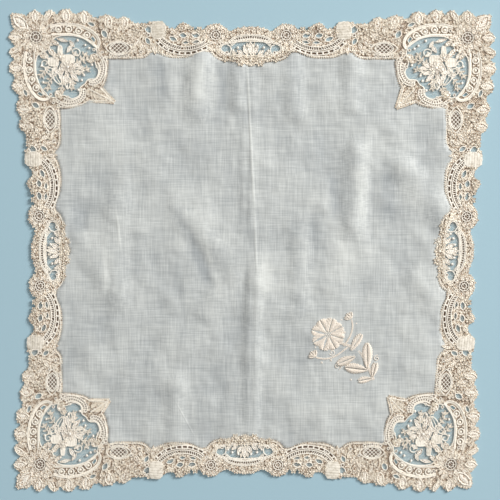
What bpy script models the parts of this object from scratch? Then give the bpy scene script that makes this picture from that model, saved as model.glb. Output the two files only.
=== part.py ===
# Lace handkerchief, lying flat and face up on a surface.
# A sheer linen square is framed by four lace corners and four lace sides.
# Each corner and each side holds an inset of net, and a flower spray is
# embroidered near one corner of the linen.
# The tables are in millimetres. The solids are in metres, +Z up.

import math

import bmesh
import bpy

MM = 0.001

# Driving sizes
HALF_SIDE = 175.0
LINEN_THICK = 1.0
LACE_THICK = 1.6
NET_THICK = 1.0
SPRAY_THICK = 0.7
SPRAY_STEP = 0.2
RELIEF_RISE = 0.5
RELIEF_ROOT = 0.5
SEAM_GAP = 0.34

# Outer edge: the notches between the leaf points lie on a line that starts
# near the corner and is drawn in towards the middle of each side.
NOTCH_AT_CORNER = 3.4
NOTCH_DRAWN_IN = 10.4
NOTCH_BEND_START = 43.0
NOTCH_BEND_END = 141.0

# Leaf points of the outer edge, from the corner to the middle of a side:
# along, half_width, rise, fullness
LEAF_POINTS = (
    (4.0, 8.0, 2.2, 3.0),
    (18.1, 5.8, 5.0, 1.3),
    (29.7, 5.0, 5.0, 1.3),
    (40.6, 6.3, 5.2, 2.4),
    (53.6, 6.4, 4.2, 2.0),
    (71.0, 6.6, 2.9, 2.2),
    (83.0, 5.4, 3.4, 1.6),
    (107.3, 7.6, 4.4, 3.0),
    (126.1, 5.6, 5.0, 2.2),
    (149.4, 8.6, 4.8, 2.6),
    (175.0, 12.5, 3.0, 2.2),
)

# Share of a bump's rise that is lost at the points beside its tip
SHOULDER_DROP = 0.35
# Outermost point of a corner, on the diagonal, and the first place beside it
CORNER_POINT = 1.2
FIRST_PLACE = 0.6
# Least distance along an edge between two points
LEAST_STEP = 0.9

# Inner edge of a side, next to the linen
INNER_EDGE = 28.3
# Tabs of the inner edge: along, half_width, rise, fullness
INNER_TABS = (
    (82.0, 19.5, 5.0, 6.0),
    (123.0, 17.0, 4.4, 2.6),
    (175.0, 29.0, 6.8, 8.0),
    (175.0, 9.5, 10.4, 2.2),
)

# Joint between a corner and a side: along at the outer and inner edges
JOINT_OUTER = 63.0
JOINT_INNER = 67.2

# Braid edge of a corner, from the joint to the notch beside the inner tip:
# along, inward
BRAID_EDGE = (
    (69.8, 35.0),
    (69.3, 42.5),
    (68.0, 49.0),
    (66.6, 52.6),
    (64.8, 55.4),
)
# Inner tip of each corner, in the order of CORNER_NAMES: along, inward
CORNER_TIPS = ((74.4, 65.8), (69.8, 69.2), (68.2, 67.4), (64.6, 70.4))

# Net window of a corner, half of it, from the outer to the inner end
CORNER_WINDOW = (
    (27.0, 27.0),
    (32.0, 18.4),
    (43.5, 17.0),
    (52.5, 19.0),
    (60.0, 22.5),
    (62.4, 30.0),
    (60.8, 36.5),
    (63.2, 43.0),
    (60.8, 48.4),
    (55.4, 49.2),
    (52.6, 52.6),
)

# Net lens in the middle of a side
LENS_HALF_LENGTH = 21.5
LENS_INWARD = 26.4
LENS_HALF_WIDTH = 4.9
LENS_FULLNESS = 0.8

# Shape of every leaf and flower in the relief
LEAF_FULLNESS = 0.7
PETAL_NOTCH = 0.78

# Raised discs along the scroll of a corner: along, inward, radius
SCROLL_RINGS = (
    (34.8, 12.3, 2.9),
    (42.2, 12.2, 2.9),
    (49.4, 13.6, 2.9),
    (55.4, 16.6, 2.7),
)
RING_SIDES = 6

# Flowers with an open eye: along, inward, radius, eye_radius, petals
CORNER_ROSE = (18.0, 18.0, 9.6, 5.0, 8)
SIDE_ROSE = (149.4, 16.6, 7.4, 3.9, 6)

# Narrow raised bands of a corner, as three points each, and a width
CORNER_BANDS = (
    ((29.6, 9.2), (48.0, 4.4), (62.6, 17.0), 1.8),
    ((66.2, 34.5), (66.4, 46.0), (62.6, 52.6), 2.2),
)
# Narrow raised bands of half a side
SIDE_BANDS = (
    ((109.6, 18.6), (125.9, 32.4), (142.6, 21.8), 2.6),
    ((107.4, 22.0), (125.1, 36.5), (144.4, 24.6), 2.0),
)
CARTOUCHE_BAND = ((158.4, 20.6), (175.0, 14.8), (191.6, 20.6), 2.4)

# Leaves and petals of half a side:
# along, inward, length, width, turn in degrees
SIDE_LEAVES = (
    (81.0, 14.0, 13.0, 6.0, 25.0),
    (95.5, 19.5, 14.0, 6.0, -55.0),
    (107.8, 13.8, 11.8, 9.6, 90.0),
    (150.2, 30.8, 8.6, 4.6, 35.0),
)
# Leaf filled with mesh, its rim raised: length, width and those of its inside
MESH_LEAF = (78.4, 26.2, 19.6, 10.2)
MESH_LEAF_INSIDE = (15.0, 6.8)
# Small flowers of half a side: along, inward, radius
SIDE_FLOWERS = (
    (92.4, 12.4, 3.4),
    (126.2, 12.0, 3.2),
)
CENTRE_FLOWER = (175.0, 34.8, 3.0)
CENTRE_PETALS = 5

# Leaf at the inner tip of a corner: its root on the diagonal, the share of the
# way to the tip that it reaches, and its width
TIP_LEAF_ROOT = 57.4
TIP_LEAF_REACH = 0.86
TIP_LEAF_WIDTH = 4.6

# Spray on the net of a corner: along, inward, length, width, turn
NET_LEAVES = (
    (41.8, 34.6, 11.0, 6.0, 0.0),
    (33.0, 36.8, 8.6, 6.0, 80.0),
    (28.4, 45.6, 12.0, 4.4, 62.0),
    (37.0, 53.2, 10.0, 4.0, 80.0),
    (50.8, 27.4, 10.0, 3.6, -35.0),
    (53.6, 38.2, 10.0, 4.0, 12.0),
)
# Flower at the heart of the spray: along, inward, radius
NET_FLOWER = (42.6, 43.0, 5.4)
NET_PETALS = 5

# Embroidered spray on the linen: centre, turn and how much its plan is
# enlarged. Its leaves, buds and bloom stand above its stems by SPRAY_STEP.
SPRAY_X = 73.6
SPRAY_Y = -73.4
SPRAY_TURN = 45.0
SPRAY_SIZE = 1.28
SPRAY_STEM = ((0.0, -24.0), (5.0, -6.0), (-1.0, 9.0), 1.7)
SPRAY_SIDE_STEMS = (
    ((2.0, 0.5), (-10.0, 1.5), (-15.0, 9.0), 1.3),
    ((1.0, 2.4), (11.0, 4.0), (14.6, 10.5), 1.3),
)
SPRAY_LEAVES = (
    (6.8, -10.9, 15.0, 6.4, 48.0),
    (-2.8, -12.2, 13.6, 6.0, 128.0),
    (7.6, -0.8, 12.0, 5.0, 14.0),
    (-3.8, -4.4, 12.0, 5.0, 158.0),
    (4.2, -19.8, 9.0, 4.0, 34.0),
    (-3.6, -20.4, 9.0, 4.0, 146.0),
)
# Buds of the spray: x, y, radius, petals
SPRAY_BUDS = ((-15.0, 10.0, 3.4, 3), (14.8, 11.6, 3.4, 3))
SPRAY_BLOOM = (-1.0, 14.0, 9.4, 6)

# Lie of the cloth on the surface: how far each corner is pulled from a true
# square, and how much more each side is drawn in at its middle
CORNER_PULL = {
    "upper_left": (1.1, -2.2),
    "upper_right": (1.1, -2.9),
    "lower_right": (-13.6, 2.2),
    "lower_left": (5.4, 2.2),
}
SIDE_DRAW = {"upper": -0.4, "right": -4.3, "lower": 1.5, "left": 4.0}

# Soft ridges where the cloth stands off the surface:
# start_x, start_y, end_x, end_y, half_width, lift
RIDGES = (
    (-1.0, 134.0, 0.0, 8.0, 9.0, 0.9),
    (5.0, -6.0, 5.0, -136.0, 10.0, 1.9),
    (-37.0, 146.0, -38.0, 104.0, 13.0, 2.3),
    (-9.0, 142.0, -8.0, 108.0, 9.0, 1.5),
    (31.0, 142.0, 33.0, 104.0, 12.0, 1.6),
    (73.0, 140.0, 74.0, 108.0, 12.0, 1.8),
    (77.0, 74.0, 77.0, 18.0, 13.0, 2.4),
    (112.0, 62.0, 141.0, 26.0, 14.0, 1.8),
    (38.0, 16.0, 40.0, -46.0, 11.0, 1.2),
    (-55.0, 30.0, -13.0, -8.0, 13.0, 1.2),
    (-12.0, -22.0, -30.0, -42.0, 13.0, 1.0),
    (-100.0, 40.0, -99.0, -38.0, 13.0, 1.5),
    (-140.0, 26.0, -108.0, -24.0, 13.0, 1.1),
    (-54.0, -100.0, -53.0, -140.0, 12.0, 1.4),
    (124.0, -20.0, 150.0, -48.0, 14.0, 1.3),
    (-162.0, 120.0, -158.0, -90.0, 12.0, 0.9),
    (-120.0, -164.0, 60.0, -160.0, 12.0, 0.9),
)

# Share of a ridge, at each end, over which it dies away
RIDGE_TAPER = 0.35

# Cutting lines that let the flat solids follow the ridges
LINEN_STEP = 11.0
LACE_STEP = 35.0
CREASE_COLUMN = 5.0

# Points closer than these become one, in metres: in a flat plan and at the end
MERGE_FLAT = 1e-6
MERGE_LAID = 2e-5
FLAT_ANGLE = 0.001

CORNER_NAMES = ("upper_left", "upper_right", "lower_right", "lower_left")
SIDE_NAMES = ("upper", "right", "lower", "left")

# Colours: red, green, blue
LINEN_COLOUR = (0.64, 0.66, 0.64)
LACE_COLOUR = (0.76, 0.67, 0.54)
NET_COLOUR = (0.58, 0.58, 0.54)
THREAD_COLOUR = (0.78, 0.68, 0.52)


def clear_scene():
    for item in list(bpy.data.objects):
        bpy.data.objects.remove(item, do_unlink=True)


def new_collection(name):
    group = bpy.data.collections.new(name)
    bpy.context.scene.collection.children.link(group)
    return group


def make_material(name, colour, roughness):
    material = bpy.data.materials.new(name)
    material.use_nodes = True
    shader = material.node_tree.nodes["Principled BSDF"]
    shader.inputs["Base Color"].default_value = (*colour, 1.0)
    shader.inputs["Roughness"].default_value = roughness
    shader.inputs["Metallic"].default_value = 0.0
    return material


def smooth_ramp(low, high, value):
    t = min(1.0, max(0.0, (value - low) / (high - low)))
    return t * t * (3.0 - 2.0 * t)


def swell(rows, along):
    # The tallest of the rounded bumps at this place
    best = 0.0
    for centre, half_width, rise, fullness in rows:
        t = abs(along - centre) / half_width
        if t < 1.0:
            best = max(best, rise * (1.0 - t ** fullness))
    return best


def mirrored_along(along):
    return min(along, 2.0 * HALF_SIDE - along)


def outer_edge(along):
    along = mirrored_along(along)
    notch = NOTCH_AT_CORNER
    notch += NOTCH_DRAWN_IN * smooth_ramp(NOTCH_BEND_START, NOTCH_BEND_END, along)
    return notch - swell(LEAF_POINTS, along)


def inner_edge(along):
    return INNER_EDGE + swell(INNER_TABS, mirrored_along(along))


def edge_places(rows, start, end):
    # Places where an edge needs a point: the foot, shoulder and tip of each bump
    places = {start, end}
    for centre, half_width, rise, fullness in rows:
        shoulder = SHOULDER_DROP ** (1.0 / fullness)
        for share in (-1.0, -shoulder, 0.0, shoulder, 1.0):
            places.add(centre + share * half_width)
    kept = []
    for place in sorted(places):
        inside = start <= place <= end
        if inside and (not kept or place - kept[-1] > LEAST_STEP):
            kept.append(place)
    return kept


def flip(points):
    return [(b, a) for a, b in points]


def mirror_side(points):
    return [(2.0 * HALF_SIDE - a, b) for a, b in reversed(points)]


def corner_outline(turn):
    places = edge_places(LEAF_POINTS, FIRST_PLACE, JOINT_OUTER)
    half = [(a, outer_edge(a)) for a in places]
    half[0] = (CORNER_POINT, CORNER_POINT)
    half.append((JOINT_INNER, inner_edge(JOINT_INNER)))
    half.extend(BRAID_EDGE)
    return half + [CORNER_TIPS[turn]] + flip(half[:0:-1])


def side_outline():
    places = edge_places(LEAF_POINTS, JOINT_OUTER, HALF_SIDE)
    outer = [(a, outer_edge(a)) for a in places]
    places = edge_places(INNER_TABS, JOINT_INNER, HALF_SIDE)
    inner = [(a, inner_edge(a)) for a in places]
    outer = outer[:-1] + mirror_side(outer)
    inner = inner[:-1] + mirror_side(inner)
    return outer + inner[::-1]


def linen_outline():
    places = edge_places(INNER_TABS, JOINT_INNER, HALF_SIDE)
    side = [(a, inner_edge(a)) for a in places]
    side = side[:-1] + mirror_side(side)
    points = []
    for turn, tip in enumerate(CORNER_TIPS):
        corner = flip(BRAID_EDGE) + [tip] + list(BRAID_EDGE[::-1])
        points += placed(corner + side, turn)
    return points


def corner_window():
    return list(CORNER_WINDOW) + flip(CORNER_WINDOW[-2:0:-1])


def lens_outline(steps=14):
    points = []
    for step in range(steps):
        angle = 2.0 * math.pi * step / steps
        squeeze = abs(math.sin(angle)) ** LENS_FULLNESS
        inward = LENS_INWARD + math.copysign(LENS_HALF_WIDTH * squeeze, math.sin(angle))
        points.append((HALF_SIDE + LENS_HALF_LENGTH * math.cos(angle), inward))
    return points


def disc_points(centre, radius, sides):
    points = []
    for step in range(sides):
        angle = 2.0 * math.pi * step / sides
        x = centre[0] + radius * math.cos(angle)
        points.append((x, centre[1] + radius * math.sin(angle)))
    return points


def flower_points(centre, radius, petals):
    points = []
    for step in range(petals * 3):
        angle = 2.0 * math.pi * step / (petals * 3)
        reach = radius * (PETAL_NOTCH if step % 3 == 0 else 1.0)
        x = centre[0] + reach * math.cos(angle)
        points.append((x, centre[1] + reach * math.sin(angle)))
    return points


def leaf_points(centre, length, width, turn, steps=4):
    flat = []
    for step in range(2 * steps):
        side = 0.5 * width if step < steps else -0.5 * width
        t = step / steps if step < steps else 2.0 - step / steps
        flat.append((length * (0.5 - t), side * math.sin(math.pi * t) ** LEAF_FULLNESS))
    cos_turn = math.cos(math.radians(turn))
    sin_turn = math.sin(math.radians(turn))
    points = []
    for x, y in flat:
        across = centre[0] + x * cos_turn - y * sin_turn
        points.append((across, centre[1] + x * sin_turn + y * cos_turn))
    return points


def band_points(start, bend, end, width, steps=5):
    # A strip of even width along a curve drawn towards its bend point
    left = []
    right = []
    for step in range(steps + 1):
        t = step / steps
        u = 1.0 - t
        x = u * u * start[0] + 2.0 * u * t * bend[0] + t * t * end[0]
        y = u * u * start[1] + 2.0 * u * t * bend[1] + t * t * end[1]
        dx = u * (bend[0] - start[0]) + t * (end[0] - bend[0])
        dy = u * (bend[1] - start[1]) + t * (end[1] - bend[1])
        size = math.hypot(dx, dy)
        left.append((x - 0.5 * width * dy / size, y + 0.5 * width * dx / size))
        right.append((x + 0.5 * width * dy / size, y - 0.5 * width * dx / size))
    return left + right[::-1]


def signed_area(points):
    total = 0.0
    for index, (x, y) in enumerate(points):
        next_x, next_y = points[(index + 1) % len(points)]
        total += 0.5 * (x * next_y - next_x * y)
    return total


def inset(points, distance):
    # Every point moves inwards, so that each edge moves by the distance. At a
    # sharp tip the point moves no more than twice as far.
    turn = 1.0 if signed_area(points) > 0.0 else -1.0
    moved = []
    for index, (x, y) in enumerate(points):
        before = points[index - 1]
        after = points[(index + 1) % len(points)]
        in_x, in_y = unit(x - before[0], y - before[1])
        out_x, out_y = unit(after[0] - x, after[1] - y)
        normal_x, normal_y = unit(-turn * (in_y + out_y), turn * (in_x + out_x))
        lean = normal_x * -turn * in_y + normal_y * turn * in_x
        reach = distance / max(0.5, lean)
        moved.append((x + normal_x * reach, y + normal_y * reach))
    return moved


def unit(x, y):
    size = math.hypot(x, y)
    return (x / size, y / size)


def turned(point, turn):
    # From a corner's own along and inward to the whole square, clockwise
    x = point[0] - HALF_SIDE
    y = HALF_SIDE - point[1]
    for _ in range(turn):
        x, y = y, -x
    return (x, y)


def placed(outline, turn):
    return [turned(point, turn) for point in outline]


def ridge_lift(x, y):
    lift = 0.0
    for start_x, start_y, end_x, end_y, half_width, rise in RIDGES:
        run_x = end_x - start_x
        run_y = end_y - start_y
        length = math.hypot(run_x, run_y)
        along = ((x - start_x) * run_x + (y - start_y) * run_y) / length
        across = ((x - start_x) * run_y - (y - start_y) * run_x) / length
        reach = abs(along - 0.5 * length) / (0.5 * length + half_width)
        spread = abs(across) / half_width
        if reach < 1.0 and spread < 1.0:
            taper = smooth_ramp(0.0, RIDGE_TAPER, 1.0 - reach)
            lift = max(lift, rise * taper * smooth_ramp(0.0, 1.0, 1.0 - spread))
    return lift


def lie_of_cloth(x, y):
    # The true square is pulled at its corners and drawn in along its sides
    right = 0.5 + 0.5 * x / HALF_SIDE
    up = 0.5 + 0.5 * y / HALF_SIDE
    shares = {
        "upper_left": (1.0 - right) * up,
        "upper_right": right * up,
        "lower_right": right * (1.0 - up),
        "lower_left": (1.0 - right) * (1.0 - up),
    }
    new_x = x + sum(CORNER_PULL[name][0] * share for name, share in shares.items())
    new_y = y + sum(CORNER_PULL[name][1] * share for name, share in shares.items())
    bow_x = 1.0 - (y / HALF_SIDE) ** 2
    bow_y = 1.0 - (x / HALF_SIDE) ** 2
    new_x += bow_x * SIDE_DRAW["left"] * max(0.0, -x) / HALF_SIDE
    new_x -= bow_x * SIDE_DRAW["right"] * max(0.0, x) / HALF_SIDE
    new_y += bow_y * SIDE_DRAW["lower"] * max(0.0, -y) / HALF_SIDE
    new_y -= bow_y * SIDE_DRAW["upper"] * max(0.0, y) / HALF_SIDE
    return (new_x, new_y)


def plan_centre():
    # Centre of the box around the finished outline, which becomes the origin
    places = edge_places(LEAF_POINTS, CORNER_POINT, HALF_SIDE)
    half = [(a, outer_edge(a)) for a in places]
    xs = []
    ys = []
    for turn in range(4):
        for point in half + flip(half):
            x, y = lie_of_cloth(*turned(point, turn))
            xs.append(x)
            ys.append(y)
    return (0.5 * (min(xs) + max(xs)), 0.5 * (min(ys) + max(ys)))


def flat_solid(outlines, bottom, thickness):
    # Closed slab from flat outlines; those inside another are holes
    curve = bpy.data.curves.new("outline", "CURVE")
    curve.dimensions = "2D"
    curve.fill_mode = "BOTH"
    curve.extrude = 0.5 * thickness * MM
    for outline in outlines:
        spline = curve.splines.new("POLY")
        spline.points.add(len(outline) - 1)
        for point, (x, y) in zip(spline.points, outline):
            point.co = (x * MM, y * MM, 0.0, 1.0)
        spline.use_cyclic_u = True
    holder = bpy.data.objects.new("outline", curve)
    bpy.context.scene.collection.objects.link(holder)
    shaped = holder.evaluated_get(bpy.context.evaluated_depsgraph_get())
    mesh = bpy.data.meshes.new_from_object(shaped)
    bpy.data.objects.remove(holder, do_unlink=True)
    work = bmesh.new()
    work.from_mesh(mesh)
    bmesh.ops.remove_doubles(work, verts=work.verts, dist=MERGE_FLAT)
    rise = (bottom + 0.5 * thickness) * MM
    bmesh.ops.translate(work, verts=work.verts, vec=(0.0, 0.0, rise))
    bmesh.ops.dissolve_limit(work, angle_limit=FLAT_ANGLE, verts=work.verts, edges=work.edges)
    bmesh.ops.recalc_face_normals(work, faces=work.faces)
    work.to_mesh(mesh)
    work.free()
    return mesh


def join_shapes(mesh, shapes, bottom, thickness):
    # Each shape becomes a slab between the same two heights, joined to the mesh
    body = bpy.data.objects.new("body", mesh)
    raised = bpy.data.collections.new("raised")
    bpy.context.scene.collection.children.link(raised)
    bpy.context.scene.collection.objects.link(body)
    for outlines in shapes:
        item = flat_solid(outlines, bottom, thickness)
        raised.objects.link(bpy.data.objects.new("raised", item))
    join = body.modifiers.new("join", "BOOLEAN")
    join.operation = "UNION"
    join.solver = "EXACT"
    join.operand_type = "COLLECTION"
    join.collection = raised
    bpy.context.view_layer.update()
    shaped = body.evaluated_get(bpy.context.evaluated_depsgraph_get())
    joined = bpy.data.meshes.new_from_object(shaped)
    for item in list(raised.objects) + [body]:
        bpy.data.objects.remove(item, do_unlink=True)
    bpy.data.collections.remove(raised)
    return joined


def add_relief(mesh, shapes, base_thick):
    # Relief is rooted a little way into the slab that it stands on
    return join_shapes(mesh, shapes, base_thick - RELIEF_ROOT, RELIEF_ROOT + RELIEF_RISE)


def cut_lines(mesh, step, extra):
    # Straight cuts across the slab, so that it can bend at them
    count = int(HALF_SIDE / step)
    across = {step * index for index in range(-count, count + 1)}
    work = bmesh.new()
    work.from_mesh(mesh)
    for normal, places in (((1, 0, 0), across | set(extra)), ((0, 1, 0), across)):
        for place in sorted(places):
            shapes = work.verts[:] + work.edges[:] + work.faces[:]
            centre = [place * MM * part for part in normal]
            plane = {"plane_co": centre, "plane_no": normal, "dist": MERGE_FLAT}
            bmesh.ops.bisect_plane(work, geom=shapes, **plane)
    work.to_mesh(mesh)
    work.free()


def lay_down(mesh, centre):
    # The flat plan takes the lie of the cloth and the lift of its ridges
    for vertex in mesh.vertices:
        x = vertex.co.x / MM
        y = vertex.co.y / MM
        new_x, new_y = lie_of_cloth(x, y)
        vertex.co.x = (new_x - centre[0]) * MM
        vertex.co.y = (new_y - centre[1]) * MM
        vertex.co.z += ridge_lift(x, y) * MM
    work = bmesh.new()
    work.from_mesh(mesh)
    bmesh.ops.remove_doubles(work, verts=work.verts, dist=MERGE_LAID)
    bmesh.ops.triangulate(work, faces=work.faces)
    work.to_mesh(mesh)
    work.free()


def add_piece(name, mesh, material, group):
    mesh.name = name
    mesh.materials.clear()
    mesh.materials.append(material)
    piece = bpy.data.objects.new(name, mesh)
    group.objects.link(piece)
    return piece


def tip_leaf(turn):
    run_a = CORNER_TIPS[turn][0] - TIP_LEAF_ROOT
    run_b = CORNER_TIPS[turn][1] - TIP_LEAF_ROOT
    share = 0.5 * TIP_LEAF_REACH
    centre = (TIP_LEAF_ROOT + share * run_a, TIP_LEAF_ROOT + share * run_b)
    length = TIP_LEAF_REACH * math.hypot(run_a, run_b)
    return leaf_points(centre, length, TIP_LEAF_WIDTH, math.degrees(math.atan2(run_b, run_a)))


def corner_relief(turn):
    rose_a, rose_b, radius, eye, petals = CORNER_ROSE
    rose = [flower_points((rose_a, rose_b), radius, petals)]
    rose.append(disc_points((rose_a, rose_b), eye, petals))
    halves = []
    for along, inward, size in SCROLL_RINGS:
        halves.append(disc_points((along, inward), size, RING_SIDES))
    for start, bend, end, width in CORNER_BANDS:
        halves.append(band_points(start, bend, end, width))
    shapes = [rose]
    for outline in halves:
        shapes.append([outline])
        shapes.append([flip(outline)])
    shapes.append([tip_leaf(turn)])
    return [[placed(line, turn) for line in shape] for shape in shapes]


def side_relief(turn):
    halves = []
    along, inward, radius, eye, petals = SIDE_ROSE
    rose = [flower_points((along, inward), radius, petals)]
    rose.append(disc_points((along, inward), eye, petals))
    halves.append(rose)
    for row in SIDE_LEAVES:
        halves.append([leaf_points(row[:2], *row[2:])])
    along, inward, length, width = MESH_LEAF
    rim = [leaf_points((along, inward), length, width, 0.0)]
    rim.append(leaf_points((along, inward), *MESH_LEAF_INSIDE, 0.0))
    halves.append(rim)
    for along, inward, radius in SIDE_FLOWERS:
        halves.append([disc_points((along, inward), radius, RING_SIDES)])
    for start, bend, end, width in SIDE_BANDS:
        halves.append([band_points(start, bend, end, width)])
    shapes = []
    for shape in halves:
        shapes.append(shape)
        shapes.append([mirror_side(line) for line in shape])
    shapes.append([band_points(*CARTOUCHE_BAND)])
    along, inward, radius = CENTRE_FLOWER
    shapes.append([flower_points((along, inward), radius, CENTRE_PETALS)])
    return [[placed(line, turn) for line in shape] for shape in shapes]


def net_relief(turn):
    shapes = [[leaf_points(row[:2], *row[2:])] for row in NET_LEAVES]
    along, inward, radius = NET_FLOWER
    shapes.append([flower_points((along, inward), radius, NET_PETALS)])
    return [[placed(line, turn) for line in shape] for shape in shapes]


def make_linen(material, group, centre):
    outline = inset(linen_outline(), 0.5 * SEAM_GAP)
    mesh = flat_solid([outline], 0.0, LINEN_THICK)
    cut_lines(mesh, LINEN_STEP, (CREASE_COLUMN,))
    lay_down(mesh, centre)
    add_piece("linen_centre", mesh, material, group)


def make_corner_lace(name, turn, material, group, centre):
    rim = placed(inset(corner_outline(turn), 0.5 * SEAM_GAP), turn)
    window = placed(inset(corner_window(), -0.5 * SEAM_GAP), turn)
    mesh = flat_solid([rim, window], 0.0, LACE_THICK)
    mesh = add_relief(mesh, corner_relief(turn), LACE_THICK)
    cut_lines(mesh, LACE_STEP, ())
    lay_down(mesh, centre)
    add_piece("corner_lace_" + name, mesh, material, group)


def make_corner_net(name, turn, material, group, centre):
    window = placed(inset(corner_window(), 0.5 * SEAM_GAP), turn)
    mesh = flat_solid([window], 0.0, NET_THICK)
    mesh = add_relief(mesh, net_relief(turn), NET_THICK)
    lay_down(mesh, centre)
    add_piece("corner_net_" + name, mesh, material, group)


def make_side_lace(name, turn, material, group, centre):
    rim = placed(inset(side_outline(), 0.5 * SEAM_GAP), turn)
    lens = placed(inset(lens_outline(), -0.5 * SEAM_GAP), turn)
    mesh = flat_solid([rim, lens], 0.0, LACE_THICK)
    mesh = add_relief(mesh, side_relief(turn), LACE_THICK)
    cut_lines(mesh, LACE_STEP, ())
    lay_down(mesh, centre)
    add_piece("side_lace_" + name, mesh, material, group)


def make_side_net(name, turn, material, group, centre):
    lens = placed(inset(lens_outline(), 0.5 * SEAM_GAP), turn)
    mesh = flat_solid([lens], 0.0, NET_THICK)
    lay_down(mesh, centre)
    add_piece("side_net_" + name, mesh, material, group)


def spray_place(outline):
    cos_turn = math.cos(math.radians(SPRAY_TURN))
    sin_turn = math.sin(math.radians(SPRAY_TURN))
    points = []
    for x, y in outline:
        across = SPRAY_SIZE * (x * cos_turn - y * sin_turn)
        points.append((SPRAY_X + across, SPRAY_Y + SPRAY_SIZE * (x * sin_turn + y * cos_turn)))
    return points


def make_spray(material, group, centre):
    bottom = LINEN_THICK + SEAM_GAP
    mesh = flat_solid([spray_place(band_points(*SPRAY_STEM))], bottom, SPRAY_THICK)
    stems = [[spray_place(band_points(*row))] for row in SPRAY_SIDE_STEMS]
    mesh = join_shapes(mesh, stems, bottom, SPRAY_THICK)
    shapes = []
    for x, y, radius, petals in (SPRAY_BLOOM, *SPRAY_BUDS):
        shapes.append([spray_place(flower_points((x, y), radius, petals))])
    for row in SPRAY_LEAVES:
        shapes.append([spray_place(leaf_points(row[:2], *row[2:]))])
    mesh = join_shapes(mesh, shapes, bottom, SPRAY_THICK + SPRAY_STEP)
    lay_down(mesh, centre)
    add_piece("embroidered_spray", mesh, material, group)


def build():
    clear_scene()
    group = new_collection("lace_handkerchief")
    linen = make_material("sheer_linen", LINEN_COLOUR, 0.75)
    lace = make_material("cream_lace", LACE_COLOUR, 0.85)
    net = make_material("fine_net", NET_COLOUR, 0.85)
    thread = make_material("embroidery_thread", THREAD_COLOUR, 0.6)
    centre = plan_centre()
    make_linen(linen, group, centre)
    for turn, name in enumerate(CORNER_NAMES):
        make_corner_lace(name, turn, lace, group, centre)
        make_corner_net(name, turn, net, group, centre)
    for turn, name in enumerate(SIDE_NAMES):
        make_side_lace(name, turn, lace, group, centre)
        make_side_net(name, turn, net, group, centre)
    make_spray(thread, group, centre)


build()
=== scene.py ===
import math
import random

import bpy
import numpy as np
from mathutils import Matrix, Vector, noise


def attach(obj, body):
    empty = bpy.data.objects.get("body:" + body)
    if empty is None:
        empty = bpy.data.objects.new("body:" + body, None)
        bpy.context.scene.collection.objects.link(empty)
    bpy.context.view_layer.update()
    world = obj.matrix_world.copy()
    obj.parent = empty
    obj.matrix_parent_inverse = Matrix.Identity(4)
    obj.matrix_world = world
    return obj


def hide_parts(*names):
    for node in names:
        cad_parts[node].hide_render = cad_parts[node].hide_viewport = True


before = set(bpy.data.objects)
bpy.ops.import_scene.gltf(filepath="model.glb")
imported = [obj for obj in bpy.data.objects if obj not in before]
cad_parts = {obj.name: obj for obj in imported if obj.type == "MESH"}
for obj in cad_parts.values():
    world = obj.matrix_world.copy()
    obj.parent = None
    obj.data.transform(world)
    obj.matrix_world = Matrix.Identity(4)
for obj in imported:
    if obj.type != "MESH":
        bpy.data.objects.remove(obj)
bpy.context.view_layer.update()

print("frame loaded:", len(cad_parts), "nodes")

# All places below are in millimetres, in the plan of one corner: how far along
# a side from the corner's tip, and how far inward. The plan is turned to each
# corner or side and then laid down as the cloth lies.
mm = 0.001
aboveFloor = 0.03   # no point of a worked piece is lower
halfSide = 175.0
cornerNames = ("upper_left", "upper_right", "lower_right", "lower_left")
sideNames = ("upper", "right", "lower", "left")

border = {
    "notchAtCorner": 3.4,   # depth of the notches between the leaf points
    "notchDrawnIn": 10.4,
    "notchBend": (43.0, 141.0),
    # along, halfWidth, rise, fullness
    "leafPoints": (
        (4.0, 8.0, 2.2, 3.0),
        (18.1, 5.8, 5.0, 1.3),
        (29.7, 5.0, 5.0, 1.3),
        (40.6, 6.3, 5.2, 2.4),
        (53.6, 6.4, 4.2, 2.0),
        (71.0, 6.6, 2.9, 2.2),
        (83.0, 5.4, 3.4, 1.6),
        (107.3, 7.6, 4.4, 3.0),
        (126.1, 5.6, 5.0, 2.2),
        (149.4, 8.6, 4.8, 2.6),
        (175.0, 12.5, 3.0, 2.2),
    ),
    "innerEdge": 28.3,
    "innerTabs": (
        (82.0, 19.5, 5.0, 6.0),
        (123.0, 17.0, 4.4, 2.6),
        (175.0, 29.0, 6.8, 8.0),
        (175.0, 9.5, 10.4, 2.2),
    ),
    "jointOuter": 63.0,
    "jointInner": 67.2,
    "braidEdge": ((69.8, 35.0), (69.3, 42.5), (68.0, 49.0), (66.6, 52.6), (64.8, 55.4)),
    "tips": ((74.4, 65.8), (69.8, 69.2), (68.2, 67.4), (64.6, 70.4)),   # in the order of cornerNames
    "window": (
        (27.0, 27.0), (32.0, 18.4), (43.5, 17.0), (52.5, 19.0), (60.0, 22.5), (62.4, 30.0),
        (60.8, 36.5), (63.2, 43.0), (60.8, 48.4), (55.4, 49.2), (52.6, 52.6),
    ),
    "lensHalfLength": 21.5,
    "lensInward": 26.4,
    "lensHalfWidth": 4.9,
}

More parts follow.
